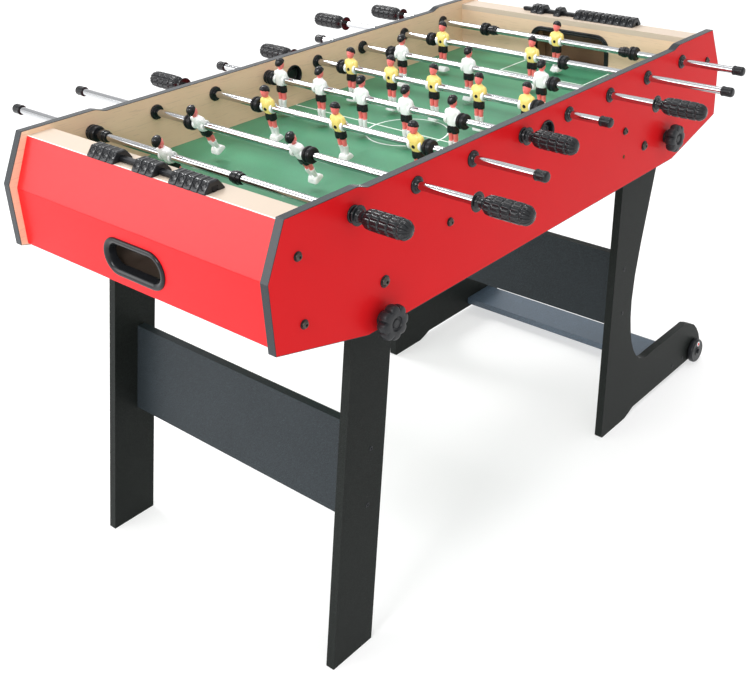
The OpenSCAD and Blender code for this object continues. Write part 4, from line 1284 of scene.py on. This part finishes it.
class FOOSBALL_OT_legs(Maker, bpy.types.Operator):
    """Splayed legs, boot legs, cross panels, foot shelf, screws and casters"""

    bl_idname = "foosball.legs"
    bl_label = "Legs and casters"

    def execute(self, context):
        look, edge = self.finishes(context), context.scene.foosball_sizes.board_edge
        for node, name, body, finish in (
            ("leg_planks", "splayed_leg_boards", "splayed_legs", "board"),
            ("leg_cross_panel", "splayed_cross_board", "splayed_legs", "panel"),
            ("boot_plates", "boot_leg_boards", "boot_legs", "board"),
            ("boot_cross_panel", "boot_cross_board", "boot_legs", "panel"),
            ("foot_shelf", "foot_board", "boot_legs", "shelf"),
        ):
            eased_board(node, name, look[finish], body, edge)
        face = node_box("leg_planks")[1][1] - MIDDLE[1]
        screws = [(screw_head(x, side * face, z, side), look["steel"])
                  for x, z in PLANK_SCREWS for side in SIDES]
        piece("splayed_leg_screws", screws, "splayed_legs", ("leg_screws",))
        screws = [(screw_head(x, side * face, z, side), look["steel"])
                  for side in SIDES for x, z in BOOT_SCREWS]
        axle = rounded([(0.2, 18.4, 0.05), (4.6, 18.4, 1.0), (6.0, 17.0, 0.6), (6.0, 16.0, 0.2),
                        (3.0, 15.9, 0.1), (3.0, -15.8, 0.1), (0.2, -15.8, 0.05)], 4)
        # Painted reflection: the red disc and the white ring on top of each wheel are painted where a red and
        # white reflection falls on the black wheel.
        red_reflection_disc = rounded([(0.2, 15.1, 0.05), (3.2, 15.0, 0.6), (3.9, 14.0, 0.3), (0.2, 13.0, 0.05)], 4)
        rim = rounded([(3.9, 12.6, 0.1), (5.6, 12.6, 0.3), (5.6, 14.6, 0.5), (3.9, 14.6, 0.4)], 4,
                      closed=True)
        for side, word in HANDS:
            x, z = node_axis(f"caster_{word}")
            wheel = [(caster(x, z, side, side * face), look["caster"])]
            spot, out = (x + 2, side * face, z + 17.0), (0, side, 0)
            wheel.append((lathe(red_reflection_disc, spot, out, 24), look["painted_red_reflection"]))
            wheel.append((lathe(rim, spot, out, 24, ring=True), look["white"]))
            piece(f"toe_wheel_{word}", wheel, f"caster_wheel_{word}", (f"caster_{word}",))
            screws.append((lathe(axle, (x, side * face, z), (0, side, 0), 28), look["steel"]))
        piece("boot_screws_and_axles", screws, "boot_legs", ("boot_hardware",))
        return {"FINISHED"}


class FOOSBALL_OT_stage(Maker, bpy.types.Operator):
    """Pale floor, soft studio light and the camera"""

    bl_idname = "foosball.stage"
    bl_label = "Stage"

    def execute(self, context):
        stage = context.scene.foosball_stage
        self.floor()
        self.lights(context, stage)
        self.camera(context, stage)
        context.scene.view_settings.view_transform = "Standard"
        return {"FINISHED"}

    def floor(self):
        """A square of 24 m that is level in the middle and rises all round with the cube of the distance
        past 8.5 m."""
        count = 49
        x = np.linspace(-12, 12, count)
        u, v = np.meshgrid(x, x, indexing="ij")
        w = 0.05 * np.clip(np.hypot(u, v) - 8.5, 0, None) ** 3
        mesh = bpy.data.meshes.new("studio_floor")
        i, j = (a.ravel() for a in np.meshgrid(range(count - 1), range(count - 1), indexing="ij"))
        quads = np.stack([i * count + j, (i + 1) * count + j, (i + 1) * count + j + 1, i * count + j + 1], 1)
        mesh.from_pydata(np.stack([u, v, w], -1).reshape(-1, 3).tolist(), [], quads.tolist())
        mesh.polygons.foreach_set("use_smooth", np.ones(len(mesh.polygons), bool))
        finish = Finish("pale_floor", Roughness=0.7, Specular_IOR_Level=0.0, Emission_Color=(1, 1, 1, 1),
                        Emission_Strength=0.56)
        cloud = finish.noise(0.6, 2)
        finish.feed("Base Color", finish.mix(cloud, (0.48, 0.48, 0.48), (0.50, 0.50, 0.50)))
        mesh.materials.append(finish.material)
        floor = bpy.data.objects.new("studio_floor", mesh)
        bpy.context.scene.collection.objects.link(floor)

    def lights(self, context, stage):
        world = bpy.data.worlds.new("even_sky")
        world.use_nodes = True
        sky = world.node_tree.nodes["Background"]
        sky.inputs["Strength"].default_value = stage.fill
        place_node = world.node_tree.nodes.new("ShaderNodeTexCoord")
        split = world.node_tree.nodes.new("ShaderNodeSeparateXYZ")
        ramp = world.node_tree.nodes.new("ShaderNodeValToRGB")
        for stop, (height, grey) in zip(ramp.color_ramp.elements, ((0.0, 0.24), (1.0, 1.0))):
            stop.position, stop.color = height, (grey, grey, grey, 1)
        ramp.color_ramp.elements.new(0.3).color = (0.38, 0.38, 0.39, 1)
        world.node_tree.links.new(place_node.outputs["Generated"], split.inputs[0])
        world.node_tree.links.new(split.outputs["Z"], ramp.inputs[0])
        world.node_tree.links.new(ramp.outputs[0], sky.inputs["Color"])
        context.scene.world = world
        for name, at, size, power in (
            ("key_left", (-6.4, -0.9, 4.4), 2.0, stage.key * 4.5),
            ("overhead", (0.9, 0.2, 5.0), 2.3, stage.key * 0.95),
            ("back", (0.3, 3.2, 4.4), 1.2, stage.key * 1.9),
            ("end_soft", (-4.4, 3.2, 2.5), 3.2, stage.key * 1.9),
        ):
            data = bpy.data.lights.new(name, "AREA")
            data.shape, data.size, data.energy = "SQUARE", size, power
            lamp = bpy.data.objects.new(name, data)
            context.scene.collection.objects.link(lamp)
            lamp.location = at
            lamp.rotation_mode = "QUATERNION"
            lamp.rotation_quaternion = (Vector((0, 0, 0.6)) - Vector(at)).to_track_quat("-Z", "Y")

    def camera(self, context, stage):
        """The view direction from yaw and pitch, with the frame turned about it by the roll."""
        data = bpy.data.cameras.new("camera")
        data.sensor_width, data.lens = 36, stage.lens
        data.shift_x, data.shift_y = stage.shift
        data.clip_start, data.clip_end = 0.05, 60
        eye = bpy.data.objects.new("camera", data)
        context.scene.collection.objects.link(eye)
        ahead = Vector((
            math.cos(stage.pitch) * math.sin(stage.yaw), math.cos(stage.pitch) * math.cos(stage.yaw),
            math.sin(stage.pitch),
        ))
        right = ahead.cross(Vector((0, 0, 1))).normalized()
        up = right.cross(ahead)
        c, s = math.cos(stage.roll), math.sin(stage.roll)
        across, above = c * right + s * up, c * up - s * right
        turn = Matrix((across, above, -ahead)).transposed()
        eye.matrix_world = Matrix.Translation(Vector(stage.eye) + Vector(MIDDLE * 0.001)) @ turn.to_4x4()
        context.scene.camera = eye


class FOOSBALL_PT_panel(bpy.types.Panel):
    """Lists what the table is made of"""

    bl_idname = "FOOSBALL_PT_panel"
    bl_label = "Foosball table"
    bl_space_type = "VIEW_3D"
    bl_region_type = "UI"
    bl_category = "Foosball"

    def draw(self, context):
        for maker in MAKERS:
            self.layout.operator(maker.bl_idname)
        for name in GROUPS:
            group, box = getattr(context.scene, name), self.layout.box()
            for value in group.bl_rna.properties.keys():
                if value not in ("rna_type", "name"):
                    box.prop(group, value)


MAKERS = (
    FOOSBALL_OT_stage, FOOSBALL_OT_cabinet, FOOSBALL_OT_field, FOOSBALL_OT_goals, FOOSBALL_OT_hardware,
    FOOSBALL_OT_rods, FOOSBALL_OT_figures, FOOSBALL_OT_scoring, FOOSBALL_OT_legs,
)
GROUPS = {
    "foosball_colours": FOOSBALL_PG_colours,
    "foosball_sizes": FOOSBALL_PG_sizes,
    "foosball_stage": FOOSBALL_PG_stage,
}


def register():
    for group in GROUPS.values():
        bpy.utils.register_class(group)
    for name, group in GROUPS.items():
        setattr(bpy.types.Scene, name, bpy.props.PointerProperty(type=group))
    for maker in MAKERS:
        bpy.utils.register_class(maker)
    bpy.utils.register_class(FOOSBALL_PT_panel)


def unregister():
    bpy.utils.unregister_class(FOOSBALL_PT_panel)
    for maker in reversed(MAKERS):
        bpy.utils.unregister_class(maker)
    for name, group in GROUPS.items():
        delattr(bpy.types.Scene, name)
        bpy.utils.unregister_class(group)


def main():
    register()
    for maker in MAKERS:
        group, name = maker.bl_idname.split(".")
        getattr(getattr(bpy.ops, group), name)()
    bpy.context.view_layer.update()


if __name__ == "__main__":
    main()
